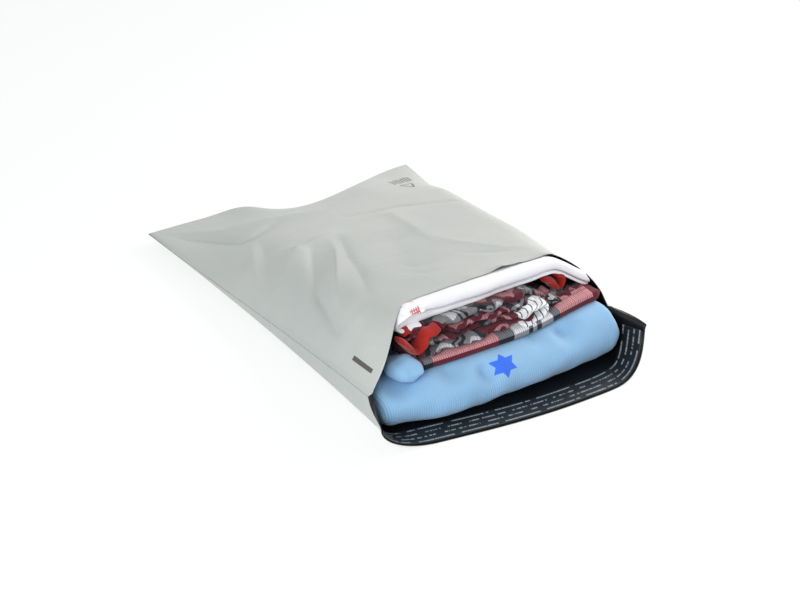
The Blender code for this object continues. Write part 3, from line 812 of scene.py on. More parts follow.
def stroke(x, y, start, end, half_width_of):
    """A printed stroke between two points: 1 inside it and 0 outside."""
    centre = (start[0] + end[0]) / 2, (start[1] + end[1]) / 2
    turn = atan2(end[1] - start[1], end[0] - start[0])
    dx, dy = x - centre[0], y - centre[1]
    lengthwise = dx * cos(turn) + dy * sin(turn)
    crosswise = dy * cos(turn) - dx * sin(turn)
    half_length = hypot(end[0] - start[0], end[1] - start[1]) / 2
    return lengthwise.near(0, half_length, 0.0006) * crosswise.near(0, half_width_of, 0.0006)


def eye_mark(x, y, z):
    """The registration bar that a bag-making machine looks for, near the mouth's left corner."""
    middle, half_length, half_height = EYE_MARK
    rise = z - EYE_HEIGHT + (y - EYE_HEIGHT_AT) * EYE_SLOPE
    return y.near(middle, half_length, 0.0005) * rise.near(0, half_height, 0.0005) * x.below(0, 0.001)


def corner_mark(x, y):
    """A hollow triangle of three strokes with a row of plain bars beside it."""
    inks = [stroke(x, y, TRIANGLE[index], TRIANGLE[index - 1], 0.0014) for index in range(3)]
    for index in range(8):
        share = index / 7
        at = [BAR_ROW[0][axis] + (BAR_ROW[1][axis] - BAR_ROW[0][axis]) * share for axis in (0, 1)]
        tall = 0.0105 - 0.0022 * (index % 3 == 1)
        inks.append(stroke(x, y, (at[0] - 0.001, at[1] - tall), (at[0] + 0.001, at[1] + tall), 0.0012))
    total = inks[0]
    for ink in inks[1:]:
        total = total.math("MAXIMUM", ink)
    return total


print("corner mark from", TRIANGLE[0], "to", BAR_ROW[1])

# %% [markdown]
# The film outside is a pale grey plastic with a satin sheen. Its colour is even, with a faint
# cloudiness from the resin, and fine stretch wrinkles show only in the highlights. The
# inside of mailer film is black, so that nothing shows through it.

# %% Film finishes
GREY = linear(183, 186, 182)
GREY_DEEP = linear(174, 178, 175)


def grey_film():
    finish = Finish("grey film")
    place = finish.place()
    x, y, z = finish.split(place)
    cloud = finish.noise(place, 9, 3)
    base = finish.mix(cloud.above(0.5, 0.5), GREY_DEEP, GREY)
    ink = eye_mark(x, y, z).math("MAXIMUM", corner_mark(x, y))
    finish.coat(finish.mix(ink, base, MARK_GREY), finish.noise(place, 40, 2) * 0.12 + 0.28)
    wrinkles = finish.noise(place, 45, 2, 0.5, (1.0, 1.6, 1.0))
    facets = finish.noise(place, 22, 2, 0.5, (1.6, 1.0, 1.0)).near(0.5, 0.0, 0.10)
    ripple = finish.noise(place, 420, 2)
    finish.bump(wrinkles + ripple * 0.05 + facets * 0.4, 0.4, 0.0012)
    return finish.material


def black_film():
    finish = Finish("black film")
    place = finish.place()
    cloud = finish.noise(place, 30, 3)
    finish.coat(finish.mix(cloud, linear(5, 6, 8), linear(11, 12, 15)), cloud * 0.15 + 0.36)
    finish.bump(finish.noise(place, 70, 4, 0.6), 0.4, 0.001)
    finish.constants(Specular_IOR_Level=0.3)
    return finish.material


GREY_FILM = grey_film()
BLACK_FILM = black_film()
print("film finishes", GREY_FILM.name, "and", BLACK_FILM.name)

# %% [markdown]
# The whole bag is one web. Its outer faces run over the bag and the lip, its inner faces end
# at the welds, and narrow strips close the rims between them. A single face with a Solidify
# modifier would be shorter to make, but it can't weld the two panels along the sides.


# %% Build the film
def add_strip(bm, one, other, material=0):
    add_sheet(bm, np.stack([one, other]), None, material)


def make_film():
    front = with_fins(front_points(), fin_turns())
    back = with_fins(back_points(), fin_turns())
    lip = with_fins(lip_points(), np.linspace(0, 1, LIP_ROWS + 1))
    back_web = np.vstack([back, lip[1:]])
    outer_front = front + FILM * grid_normals(front, True)
    outer_back = back_web + FILM * grid_normals(back_web, False)
    lip[0, 0] = outer_front[-1, 0]
    lip[0, -1] = outer_front[-1, -1]
    across, down = arc_lengths(front, 1), arc_lengths(front, 0)
    across -= across[:, across.shape[1] // 2][:, None]
    flat = np.stack([across, down], -1)
    bag = ROWS + 1
    bm = bmesh.new()
    add_sheet(bm, outer_front, flat, 0)
    add_sheet(bm, outer_back, None, 0)
    add_sheet(bm, front[:, 1:-1], None, 1)
    add_sheet(bm, back[:, 1:-1], None, 1)
    add_sheet(bm, lip, None, 1)
    for side in (0, -1):
        # The rims along the weld fins take the black finish: partly the film's black inner layer showing in the cut
        # edge, and partly a painted shadow line under each fin's edge.
        add_strip(bm, outer_front[:, side], outer_back[:bag, side], 1)
        add_strip(bm, outer_back[bag - 1 :, side], lip[:, side])
    add_strip(bm, outer_front[0], outer_back[0])
    add_strip(bm, outer_back[-1], lip[-1])
    add_strip(bm, outer_front[-1, 1:-1], front[-1, 1:-1])
    add_strip(bm, outer_front[-1, :2], lip[0, :2])
    add_strip(bm, outer_front[-1, -2:], lip[0, -2:])
    film = finish_piece("film", bm, [GREY_FILM, BLACK_FILM])
    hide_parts("mailer_film")
    return film


film = make_film()

# %% [markdown]
# The strip on the lip is a peel-off liner over hot-melt adhesive. The liner is a dark printed
# band. Its print is four rows of plain pale dashes with gaps between groups of them, drawn
# along the liner's own flat coordinates, so that the rows follow the lip's bend.


# %% Finishes of the liner and the adhesive
LINER_WIDTH = 0.030
LINER_LENGTH = 0.352
LINER_FROM_LIP_EDGE = 0.002
LINER_LIFT = 0.0012
LINER = 0.0003
ADHESIVE_WIDTH = 0.022
ADHESIVE = 0.0004
DASH_ROWS = 4
DASH_GROUP = 0.051
DASH_SHIFT = 0.017
BAND_ROWS = 13
BAND_COLUMNS = 161


def printed_liner():
    finish = Finish("printed liner")
    u, v, _ = finish.split(finish.cloth_place())
    lane = v * (DASH_ROWS / LINER_WIDTH)
    row = lane.math("FLOOR")
    in_row = lane.math("FRACT").near(0.5, 0.13, 0.10)
    groups = ((u + row * DASH_SHIFT) / DASH_GROUP).math("FRACT").near(0.5, 0.42, 0.01)
    dashes = finish.noise(finish.join(u * 900, row * 9.7), 1, 0).above(0.40, 0.14)
    breaks = finish.noise(finish.join(u * 190, row * 5.3), 1, 0).above(0.36, 0.03)
    ink = in_row * groups * dashes * breaks
    ground = finish.mix(finish.noise(finish.place(), 25, 2), linear(12, 18, 25), linear(24, 31, 38))
    roughness = finish.noise(finish.place(), 90, 2) * 0.15 + 0.34
    finish.coat(finish.mix(ink * 0.62, ground, linear(176, 184, 188)), roughness)
    finish.bump(finish.noise(finish.place(), 55, 3, 0.6), 0.35, 0.001)
    finish.constants(Specular_IOR_Level=0.35)
    return finish.material


def hot_melt():
    finish = Finish("hot melt")
    glue = finish.mix(finish.noise(finish.place(), 80, 2), linear(216, 208, 184), linear(232, 226, 206))
    finish.coat(glue, finish.noise(finish.place(), 160, 2) * 0.2 + 0.2)
    return finish.material


print("the liner is", LINER_WIDTH, "by", LINER_LENGTH, "m, with", DASH_ROWS, "rows of dashes")

# %% [markdown]
# The liner and the adhesive follow the lip all the way round its corners. Flat boxes would
# float off it there, so both are thin bands cut from the lip's own grid of points and moved
# out along its surface.


# %% Build the release liner and the adhesive
def between(grid, steps, first, last, count):
    """The grid from first to last (0 to 1) along its first axis, at evenly spaced cuts."""
    out = []
    for w in np.linspace(first, last, count):
        index = min(int(w * steps), steps - 1)
        share = w * steps - index
        out.append(grid[index] * (1 - share) + grid[index + 1] * share)
    return np.array(out)


def lip_band(name, width, length, from_edge, lift, thick, material):
    """A thin band that follows the lip, lifted off its inner face."""
    last = 1 - from_edge / LIP_DEPTH
    across = length / BAG_WIDTH / 2
    rows = between(lip_points(), LIP_ROWS, last - width / LIP_DEPTH, last, BAND_ROWS)
    points = between(rows.swapaxes(0, 1), COLUMNS, 0.5 - across, 0.5 + across, BAND_COLUMNS).swapaxes(0, 1)
    normal = grid_normals(points, True)
    low, high = points + lift * normal, points + (lift + thick) * normal
    v = np.repeat(np.linspace(width, 0, BAND_ROWS)[:, None], BAND_COLUMNS, axis=1)
    flat = np.stack([arc_lengths(points, 1), v], -1)
    bm = bmesh.new()
    add_sheet(bm, low, flat)
    add_sheet(bm, high, flat)
    for edge in (np.s_[0], np.s_[-1], np.s_[:, 0], np.s_[:, -1]):
        add_strip(bm, low[edge], high[edge])
    return finish_piece(name, bm, [material])


def make_liner():
    band = (LINER_WIDTH, LINER_LENGTH, LINER_FROM_LIP_EDGE, LINER_LIFT, LINER)
    liner = lip_band("liner", *band, printed_liner())
    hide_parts("release_liner")
    return liner


def make_adhesive():
    inset = (LINER_WIDTH - ADHESIVE_WIDTH) / 2
    band = (ADHESIVE_WIDTH, LINER_LENGTH - 2 * inset, LINER_FROM_LIP_EDGE + inset, SEAT, ADHESIVE)
    glue = lip_band("adhesive", *band, hot_melt())
    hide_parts("adhesive_strip")
    return glue


liner = make_liner()
make_adhesive()

# %% [markdown]
# The garments are folded cloth, and no fold of real cloth is straight. Two fields of smooth
# noise let the lines of the folds wander and dent the faces. The stations are the places
# across the bag at which a garment's section is drawn, and they close up at its ends, where
# the section thins out to a soft edge.


# %% Wandering lines and stations
def wave(x, seed, pitch):
    """A smooth line that wanders between about -1 and 1 along x."""
    spots = [Vector((value / pitch, seed * 3.7, seed * 1.3)) for value in np.ravel(x)]
    return np.array([noise.noise(spot) for spot in spots]).reshape(np.shape(x)) * 1.7


def ripple_field(x, y, z, seed, pitch):
    """The same in space, for dents over a face."""
    spots = np.stack(np.broadcast_arrays(x, y, z), -1).reshape(-1, 3) / pitch + seed * 2.9
    return np.array([noise.noise(Vector(spot)) for spot in spots]).reshape(np.shape(x)) * 1.7


def stations(left, right, round_left, round_right, count):
    """Stations across a garment, and how full its section is at each: thin at the two ends."""
    turns = np.radians([2, 9, 18, 29, 42, 57, 73])
    xs = np.concatenate(
        [
            left + round_left * (1 - np.cos(turns)),
            np.linspace(left + round_left, right - round_right, count),
            right - round_right * (1 - np.cos(turns[::-1])),
        ]
    )
    full = np.concatenate([np.sin(turns), np.ones(count), np.sin(turns[::-1])])
    return xs, full


EDGE_OVERLAP = 0.002
OPEN_ABOVE = 1.0


def roof(x, y):
    """How high a garment may reach: under the front panel, and free in front of its edge."""
    q = np.clip(x / half_width(x, y), -1, 1)
    inside = y > front_mouth_y(q) - EDGE_OVERLAP
    return np.where(inside, ceiling(x, y, folds(x, y)) - FILM_ROOM, OPEN_ABOVE)


print("the film leaves", round(float(roof(0.0, 0.0)), 4), "m of height over the middle of the bag")

# %% [markdown]
# A folded garment is a loft of sections. Each section is one loop: the flat underside, then
# the rounded nose of every fold from the lowest to the highest with a groove between two
# folds, then the top and the rear. A stack of separate cushions would be simpler, but folds
# of one garment run into each other, as these loops do.


# %% Sections of a folded garment
BASE_LOOPS = 20


def fold_loops(xs, full, front, rear, low, high, layers, rear_nose, gap=0.0016, power=1.0):
    """Loops over the stations.

    Each layer has the share of the height it ends at, its set-back, its nose and its groove.
    """
    loops = []

    def add(y, z):
        middle = (low(xs, y) + high(xs, y)) / 2
        loops.append(np.stack([xs, y, middle + (z - middle) * full], -1))

    first = front + layers[0][1] + layers[0][2]
    for share in np.linspace(0, 1, BASE_LOOPS):
        y = rear - rear_nose + (first - rear + rear_nose) * share
        add(y, low(xs, y))
    started = 0.0
    for index, (ends, set_back, nose, groove) in enumerate(layers):
        last = index == len(layers) - 1
        centre = front + set_back + nose
        bottom, height = low(xs, centre), high(xs, centre) - low(xs, centre)
        gap_here = np.minimum(gap, height * 0.06)
        z0 = bottom + height * started + (gap_here / 2 if index else 0)
        z1 = bottom + height * ends - (0 if last else gap_here / 2)
        for angle in np.linspace(-pi / 2, pi / 2, 15)[(1 if index == 0 else 0) : (14 if last else 15)]:
            bow = abs(cos(angle)) ** power
            rise = abs(sin(angle)) ** power * (1 if angle > 0 else -1)
            add(centre - nose * bow, (z0 + z1) / 2 + (z1 - z0) / 2 * rise)
        if not last:
            ahead = front + layers[index + 1][1] + layers[index + 1][2]
            deepest = np.maximum(centre, ahead)
            for share in (0.3, 0.7, 1.0):
                add(centre + (deepest - centre) * share + groove * share, z1 + gap_here * 0.1 * share)
            for share in (1.0, 0.7, 0.3):
                add(ahead + (deepest - ahead) * share + groove * share, z1 + gap_here * (1 - 0.1 * share))
        started = ends
    top_front = front + layers[-1][1] + layers[-1][2]
    for share in np.linspace(0, 1, 26) ** 1.2:
        y = top_front + (rear - rear_nose - top_front) * share
        add(y, high(xs, y))
    low_rear, high_rear = low(xs, rear - rear_nose), high(xs, rear - rear_nose)
    for angle in np.linspace(pi / 2, -pi / 2, 9)[1:-1]:
        half = (high_rear - low_rear) / 2
        add(rear - rear_nose + rear_nose * cos(angle), (low_rear + high_rear) / 2 + half * sin(angle))
    loops = np.array(loops)
    x, y, z = loops[..., 0], loops[..., 1], loops[..., 2]
    z = np.minimum(z, roof(x, y))
    z = np.maximum(z, bag_floor(x, y) + np.where(np.abs(x) > FLAT_HALF, FILM_ROOM, SEAT))
    return np.stack([x, y, z], -1)


print("sections go round in loops over the stations")

# %% [markdown]
# The loops are joined into one closed body. Its flat coordinates run across the garment and
# round its section from a chosen loop, so that a stripe in the weave keeps to its fold.


# %% Close the sections into a body
def loft(name, loops, materials, dent=None, start=0):
    """The flat coordinate is across, and round from the loop at start."""
    if dent is not None:
        loops = dent(loops)
    around = arc_lengths(loops, 0)
    around = around - around[start]
    flat = np.stack([loops[..., 0], around], -1)
    last_ring = np.stack([loops[0, :, 0], around[-1] + np.linalg.norm(loops[-1] - loops[0], axis=1)], -1)
    bm = bmesh.new()
    add_sheet(bm, np.concatenate([loops, loops[:1]]), np.concatenate([flat, last_ring[None]]))
    close_ends(bm)
    return finish_piece(name, bm, materials), flat, loops


def spot_on(loops, flat, x, y, z):
    """The flat coordinate of the loft's point nearest to a place."""
    off = np.linalg.norm(loops - np.array([x, y, z]), axis=-1)
    return flat[np.unravel_index(np.argmin(off), off.shape)]


print("garments are closed lofts")

# %% [markdown]
# The blue garment is a thick ribbed knit. The ribs run up its front, strongest low down, and
# the yarn gives it a soft edge in the light. Its colour is painted darker along the rib grooves
# as painted shade, most of all low down, so the front is darker towards the bottom. A plain
# six-pointed star is printed on it: six straight edges cut it out of the flat coordinates,
# three for each of two triangles.

# %% Finish of the blue knit
STAR_RADIUS = 0.0152
STAR_TURN = radians(30)
RIB_PITCH = 0.0026


def blue_knit(star):
    finish = Finish("blue knit")
    u, v, _ = finish.split(finish.cloth_place())
    place = finish.place()
    cloud = finish.noise(place, 14, 3)
    ribs = (u * (2 * pi / RIB_PITCH) + finish.noise(place, 60, 2) * 3).math("SINE")
    low_rib_shade_and_depth = finish.split(place)[2].below(0.040, 0.030) * 0.7 + 0.3
    yarn = finish.noise(place, 1500, 2)
    pale = finish.mix(cloud, linear(138, 181, 219), linear(152, 194, 229))
    # Painted shade: the colour darkens along the rib grooves, and more so low on the roll.
    shaded = finish.mix((ribs * 0.5 + 0.5) * low_rib_shade_and_depth * 0.42, pale, linear(104, 150, 196))
    du, dv = u - star[0], v - star[1]
    cells = []
    for start in (0, pi):
        sides = [start + STAR_TURN + turn * 2 * pi / 3 for turn in range(3)]
        reach = [du * cos(side) + dv * sin(side) for side in sides]
        cells.append(reach[0].math("MAXIMUM", reach[1]).math("MAXIMUM", reach[2]))
    star_edge = cells[0].math("MINIMUM", cells[1])
    print_ink = star_edge.below(STAR_RADIUS / 2, 0.0005)
    finish.coat(finish.mix(print_ink, shaded, linear(56, 112, 232)), print_ink * -0.25 + 0.9)
    finish.bump(ribs * low_rib_shade_and_depth * 0.5 + yarn * 0.35, 0.5, 0.0006)
    finish.constants(Sheen_Weight=0.25, Specular_IOR_Level=0.2)
    return finish.material


print("ribs every", RIB_PITCH, "m")

# %% [markdown]
# The garment is folded once, so its front is one fat roll. It bends back at both ends, where
# the bag holds it, and its front is dented from the packing. The dents are pushed into the
# mesh, because a bump in the finish would leave the roll's outline straight.

# %% Build the blue garment
BLUE_LEFT = STACK_SHIFT - BLUE_WIDTH / 2
BLUE_RIGHT = BLUE_LEFT + BLUE_WIDTH
BLUE_NOSE = 0.026
STAR_PLACE = (-0.0025, -0.2275, 0.0455)
# Each dent: its place, its radius and its depth
BLUE_DENTS = (
    ((-0.024, -0.226, 0.046), 0.013, 0.0140),
    ((-0.060, -0.214, 0.048), 0.014, 0.0120),
    ((0.083, -0.218, 0.057), 0.014, 0.0170),
    ((0.050, -0.214, 0.055), 0.014, 0.0100),
    ((-0.118, -0.200, 0.050), 0.020, 0.0110),
)


def blue_dents(loops):
    x, y, z = loops[..., 0], loops[..., 1], loops[..., 2]
    front = smooth_step((STACK_FRONT_Y - y) / 0.05)
    soft = ripple_field(x, y, z, 3, 0.050) * 0.0026 + ripple_field(x, y, z, 5, 0.022) * 0.0011
    sunk = np.zeros(np.shape(x))
    for centre, radius, depth in BLUE_DENTS:
        off = np.sqrt((x - centre[0]) ** 2 + (y - centre[1]) ** 2 + (z - centre[2]) ** 2)
        sunk += depth * np.exp(-((off / radius) ** 2))
    return np.stack([x, y + soft * front + sunk * 0.75, z - sunk * 0.65], -1)


def make_blue():
    xs, full = stations(BLUE_LEFT, BLUE_RIGHT, 0.015, 0.013, 150)
    bend = 0.016 * smooth_step((-xs - 0.05) / 0.10) + 0.007 * smooth_step((xs - 0.08) / 0.07)
    corner = 0.010 * (1 - full)
    top = lambda x, y: np.minimum(layer_top(x, y, 1), roof(x, y))
    base = lambda x, y: np.full(np.shape(x), FILM + SEAT)
    front, rear = BLUE_FRONT_Y + bend + corner, STACK_REAR_Y - corner
    loops = fold_loops(xs, full, front, rear, base, top, [(1.0, 0.0, BLUE_NOSE, 0.0)], 0.012)
    blue, flat, loops = loft("blue_garment", loops, [], blue_dents)
    star = spot_on(loops, flat, *STAR_PLACE)
    blue.data.materials.append(blue_knit(star))
    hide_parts("blue_shirt")
    return blue


blue = make_blue()

# %% [markdown]
# On the roll's left end lies the end of one sleeve, stuffed in as a soft lump. A rounded box
# would look hard, so a sphere is stretched, flattened a little on top and made uneven.

# %% Build the sleeve end on its left
SLEEVE_HALF = (0.0165, 0.0250, 0.0125)
SLEEVE_IN, SLEEVE_BACK, SLEEVE_LIFT = 0.043, 0.014, 0.011
SLEEVE_TURN = radians(24)
LUMPS = 0.016


def make_sleeve(material):
    bm = bmesh.new()
    bmesh.ops.create_uvsphere(bm, u_segments=64, v_segments=40, radius=1)
    x0, y0 = BLUE_LEFT + SLEEVE_IN, WELD_END_Y + SLEEVE_BACK
    centre = Vector((x0, y0, float(layer_top(x0, y0, 1)) + SLEEVE_LIFT))
    for vert in bm.verts:
        a, b, c = vert.co
        flat_top = 1 - 0.25 * max(c, 0)
        a, b, c = a * SLEEVE_HALF[0], b * SLEEVE_HALF[1] * flat_top, c * SLEEVE_HALF[2]
        x = a * cos(SLEEVE_TURN) - b * sin(SLEEVE_TURN)
        y = a * sin(SLEEVE_TURN) + b * cos(SLEEVE_TURN)
        wobble = 1 + 0.26 * noise.noise(Vector((x, y, c)) / LUMPS + Vector((4, 1, 2)))
        vert.co = centre + Vector((x, y, c)) * wobble
    layer = bm.loops.layers.uv.verify()
    for face in bm.faces:
        face.smooth = True
        for loop in face.loops:
            loop[layer].uv = (loop.vert.co.x - 1.0, loop.vert.co.y)
    sleeve = finish_piece("blue_sleeve_end", bm, [material])
    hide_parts("blue_shirt")
    return sleeve


make_sleeve(blue.data.materials[0])

# %% [markdown]
# The middle garment is a flannel shirt in a woven check. A check has two lists of stripes.
# One is the colours of the lengthwise threads, and the other is what they turn into where
# they cross the pale threads. Bands round the section say where the pale threads are, and
# the edge of the lowest fold, which is the shirt's hem, has none. On the ruffles the stripes
# wander, since each of them is another part of the shirt. A painted picture of a check would
# not bend with the folds as these stripes do.

# %% Finish of the plaid flannel
PLAID_LEFT = -0.092
PLAID_RIGHT = PLAID_LEFT + PLAID_WIDTH
SETT = 0.235
SETT_START = PLAID_LEFT + 0.007
MAROON, BLACK = linear(104, 24, 42), linear(18, 23, 36)
PINK, SMOKE = linear(208, 148, 152), linear(122, 122, 128)
ASH, CHALK = linear(140, 140, 145), linear(238, 238, 240)
PLAIN_STRIPES = (
    (0.000, BLACK), (0.050, MAROON), (0.380, BLACK), (0.462, ASH), (0.545, BLACK),
    (0.570, ASH), (0.592, BLACK), (0.618, ASH), (0.694, BLACK), (0.735, MAROON),
)
CROSSED_STRIPES = (
    (0.000, SMOKE), (0.050, PINK), (0.380, SMOKE), (0.462, CHALK), (0.545, SMOKE),
    (0.570, CHALK), (0.592, SMOKE), (0.618, CHALK), (0.694, SMOKE), (0.735, PINK), (0.945, MAROON),
)
NONE, HALF, FULL = (0, 0, 0), (0.5, 0.5, 0.5), (1, 1, 1)
PALE_BANDS = ((0.000, NONE), (0.125, FULL), (0.330, HALF), (0.355, FULL), (0.420, NONE), (0.600, FULL), (0.690, NONE))
WEFT_REPEAT = 0.072
THREAD_PITCH = 0.0026
TWILL_PITCH = 0.0011
RUFFLES_FROM = 0.036
RUFFLE_LENGTH = 0.041


def plaid_flannel():
    finish = Finish("plaid flannel")
    u, v, _ = finish.split(finish.cloth_place())
    place = finish.place()
    ruffled = v.above(RUFFLES_FROM, 0.006)
    drift = finish.noise(place, 20, 1) - 0.5
    fold = ((v - RUFFLES_FROM) / RUFFLE_LENGTH).math("FLOOR")
    shift = ruffled * (fold * 0.23 + 0.41)
    across = ((u - SETT_START) / SETT + drift * (ruffled * 0.5 + 0.01) + shift).math("FRACT")
    around = ((v + ruffled * (drift * 0.05 + fold * 0.019)) / WEFT_REPEAT).math("FRACT")
    plain = finish.node("ShaderNodeValToRGB", {"stops": PLAIN_STRIPES}, {"Fac": across})
    crossed = finish.node("ShaderNodeValToRGB", {"stops": CROSSED_STRIPES}, {"Fac": across})
    pale = finish.node("ShaderNodeValToRGB", {"stops": PALE_BANDS}, {"Fac": around})
    for ramp in (plain, crossed, pale):
        ramp.socket.node.color_ramp.interpolation = "CONSTANT"
    slub = finish.noise(finish.join(u * 420, v * 14), 1, 1)
    threads = ((u * (2 * pi / THREAD_PITCH)).math("SINE") * 0.5 + 0.5) * 0.5 + slub * 0.5
    cloth = finish.mix(pale * (threads * 1.5 + 0.05).math("MINIMUM", 1.0), plain, crossed)
    twill = ((u + v) * (2 * pi / TWILL_PITCH)).math("SINE")
    dirt = finish.noise(place, 300, 2)
    # The ruffled folds are painted darker towards near-black, as painted shade between the folds; the dirt noise adds
    # a random mottle on top.
    ruffle_shade_and_dirt = finish.mix(ruffled * 0.30 + (dirt - 0.4) * 0.25, cloth, linear(30, 22, 30))
    finish.coat(ruffle_shade_and_dirt, dirt * 0.1 + 0.85)
    finish.bump(twill * 0.4 + dirt * 0.6, 0.45, 0.0005)
    finish.constants(Sheen_Weight=0.15, Specular_IOR_Level=0.2)
    return finish.material


PLAID = plaid_flannel()
print("finish", PLAID.name)

# %% [markdown]
# The shirt is folded many times and then pushed together, so its front is one long flat fold
# with thinner ruffled folds above it. Each fold is one layer of the loft, whose height and
# set-back wander from station to station. Its right end is pushed down under the film.


# %% Build the plaid garment
def plaid_dip(x, y):
    """The garment is pushed down at its right end near the mouth, behind its front fold."""
    front_fold = smooth_step((WHITE_FRONT_Y - 0.008 - y) / 0.010)
    return (0.032 - 0.009 * front_fold) * smooth_step((x - 0.05) / 0.07) * near_mouth(y)


def plaid_dents(loops):
    """Creases and dents over the ruffled front, and none on the hem's fold."""
    x, y, z = loops[..., 0], loops[..., 1], loops[..., 2]
    front = smooth_step((WHITE_FRONT_Y + 0.012 - y) / 0.015)
    above_hem = smooth_step((z - layer_top(x, y, 1) - 0.010) / 0.006)
    crumple = ripple_field(x, y, z, 51, 0.020) * 0.0044 + ripple_field(x, y, z, 52, 0.008) * 0.0008
    soft = ripple_field(x, y, z, 53, 0.04) * 0.0010
    return np.stack([x, y + (crumple * above_hem + soft) * front, z], -1)


def make_plaid(material):
    xs, full = stations(PLAID_LEFT, PLAID_RIGHT, 0.010, 0.010, 230)
    bow = 0.012 * smooth_step(1 - np.abs(xs - 0.03) / 0.13)
    corner = 0.006 * (1 - full)
    hem_share = 0.29 + 0.02 * wave(xs, 2, 0.05) + 0.45 * smooth_step((xs - 0.07) / 0.05)
    layers = [(hem_share, 0.0, 0.004, 0.010)]
    set_backs = (0.009, 0.015, 0.018, 0.021)
    for index, (share, set_back) in enumerate(zip((0.46, 0.63, 0.81, 1.0), set_backs)):
        ends = hem_share + (share - 0.29) * (1 - hem_share) / 0.71
        wander = 0.0 if share == 1.0 else 0.065 * wave(xs, 11 + index, 0.034) * (1 - hem_share)
        ruffle = 0.0060 * wave(xs, 21 + index, 0.020) + 0.0026 * wave(xs, 31 + index, 0.008)
        layers.append((ends + wander, set_back + ruffle, 0.0040, 0.016))
    base = lambda x, y: layer_top(x, y, 1) + SEAT
    top = lambda x, y: np.minimum(layer_top(x, y, 2) - plaid_dip(x, y), roof(x, y))
    rear = PLAID_FRONT_Y + PLAID_LENGTH - corner
    front = PLAID_FRONT_Y + corner - bow
    loops = fold_loops(xs, full, front, rear, base, top, layers, 0.008, 0.0036, 0.8)
    plaid, _, _ = loft("plaid_garment", loops, [material], plaid_dents, BASE_LOOPS)
    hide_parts("plaid_shirt")
    return plaid


make_plaid(PLAID)

# %% [markdown]
# A few bits of cloth stand out of the ruffles, and one more wraps the white garment's left
# end. Each is a doubled band of cloth, bent along a short path in an upright plane, with its
# ends thinned out into the stack. A curve with a bevel would give a round cord, and a band of
# cloth is much deeper than it is thick, so rings of points are drawn round the path.


# %% Bent bands of cloth
def rounded(path, times=3):
    """Cuts the corners of a path, so that it bends softly."""
    path = np.array(path, float)
    for _ in range(times):
        near, far = path[:-1] * 0.75 + path[1:] * 0.25, path[:-1] * 0.25 + path[1:] * 0.75
        middle = np.stack([near, far], 1).reshape(-1, 2)
        path = np.vstack([path[:1], middle, path[-1:]])
    return path


def bent_band(name, path, centre, turn, half_thick, half_depth, material, seed):
    """The path is in millimetres to the right and up from the centre."""
    path = rounded(path) * MM
    tangent = np.gradient(path, axis=0)
    tangent /= np.linalg.norm(tangent, axis=1, keepdims=True)
    share = np.linspace(-1, 1, len(path))
    full = np.sqrt(np.clip(1 - share**8, 0, 1))
    right = np.array([cos(turn), sin(turn), 0])
    inward = np.array([-sin(turn), cos(turn), 0])
    up = np.array([0, 0, 1])
    rings = []
    for angle in np.linspace(0, 2 * pi, 41):
        out = half_thick * sin(angle) * full
        deep = half_depth * cos(angle) * (0.4 + 0.6 * full)
        s = path[:, 0] - tangent[:, 1] * out
        h = path[:, 1] + tangent[:, 0] * out
        rings.append(np.array(centre) + s[:, None] * right + h[:, None] * up + deep[:, None] * inward)
    points = np.array(rings)
    x, y, z = points[..., 0], points[..., 1], points[..., 2]
    dent = ripple_field(x, y, z, seed, 0.012) * 0.0014 + ripple_field(x, y, z, seed + 1, 0.005) * 0.0005
    points = points + dent[..., None] * np.array([0.3, 1.0, 0.5])
    points[..., 2] = np.minimum(points[..., 2], roof(points[..., 0], points[..., 1]))
    points[-1] = points[0]
    flat = np.stack([arc_lengths(points, 1), arc_lengths(points, 0)], -1)
    bm = bmesh.new()
    add_sheet(bm, points, flat)
    close_ends(bm)
    return finish_piece(name, bm, [material])


print("bands are bent along short paths")

# %% [markdown]
# The shirt has a plain red lining, brushed like the outside, and its cuffs come from the pale
# part of the check. The cuff's dark lines run across the band, along its flat coordinate.

# %% Finishes of the lining and the cuff
CUFF_LINES = 0.0075
CUFF_THREADS = 0.0015


def red_lining():
    finish = Finish("red lining")
    place = finish.place()
    cloud = finish.noise(place, 60, 3)
    finish.coat(finish.mix(cloud, linear(120, 20, 22), linear(188, 42, 32)), cloud * 0.1 + 0.85)
    finish.bump(finish.noise(place, 700, 2) + cloud * 2, 0.4, 0.0006)
    finish.constants(Sheen_Weight=0.2, Specular_IOR_Level=0.2)
    return finish.material


def pale_check():
    finish = Finish("pale check")
    u, _, _ = finish.split(finish.cloth_place())
    place = finish.place()
    lines = (u / CUFF_LINES + finish.noise(place, 60, 1) * 0.6).math("FRACT").near(0.5, 0.10, 0.04)
    shade = finish.noise(place, 70, 1).above(0.52, 0.10)
    threads = (u * (2 * pi / CUFF_THREADS)).math("SINE") * 0.5 + 0.5
    grey = finish.mix(threads * 0.6, CHALK, ASH)
    cloth = finish.mix(shade, CHALK, grey)
    finish.coat(finish.mix(lines * 0.9, cloth, BLACK), shade * 0.05 + 0.88)
    finish.bump(finish.noise(place, 700, 2), 0.4, 0.0005)
    finish.constants(Sheen_Weight=0.15, Specular_IOR_Level=0.2)
    return finish.material


RED = red_lining()
PALE = pale_check()
print("finishes", RED.name, "and", PALE.name)

# %% [markdown]
# Three folds of the red lining and one rolled cuff peep out between the flannel's ruffles.
# They are parts of the same shirt, so they stand for its node as well.

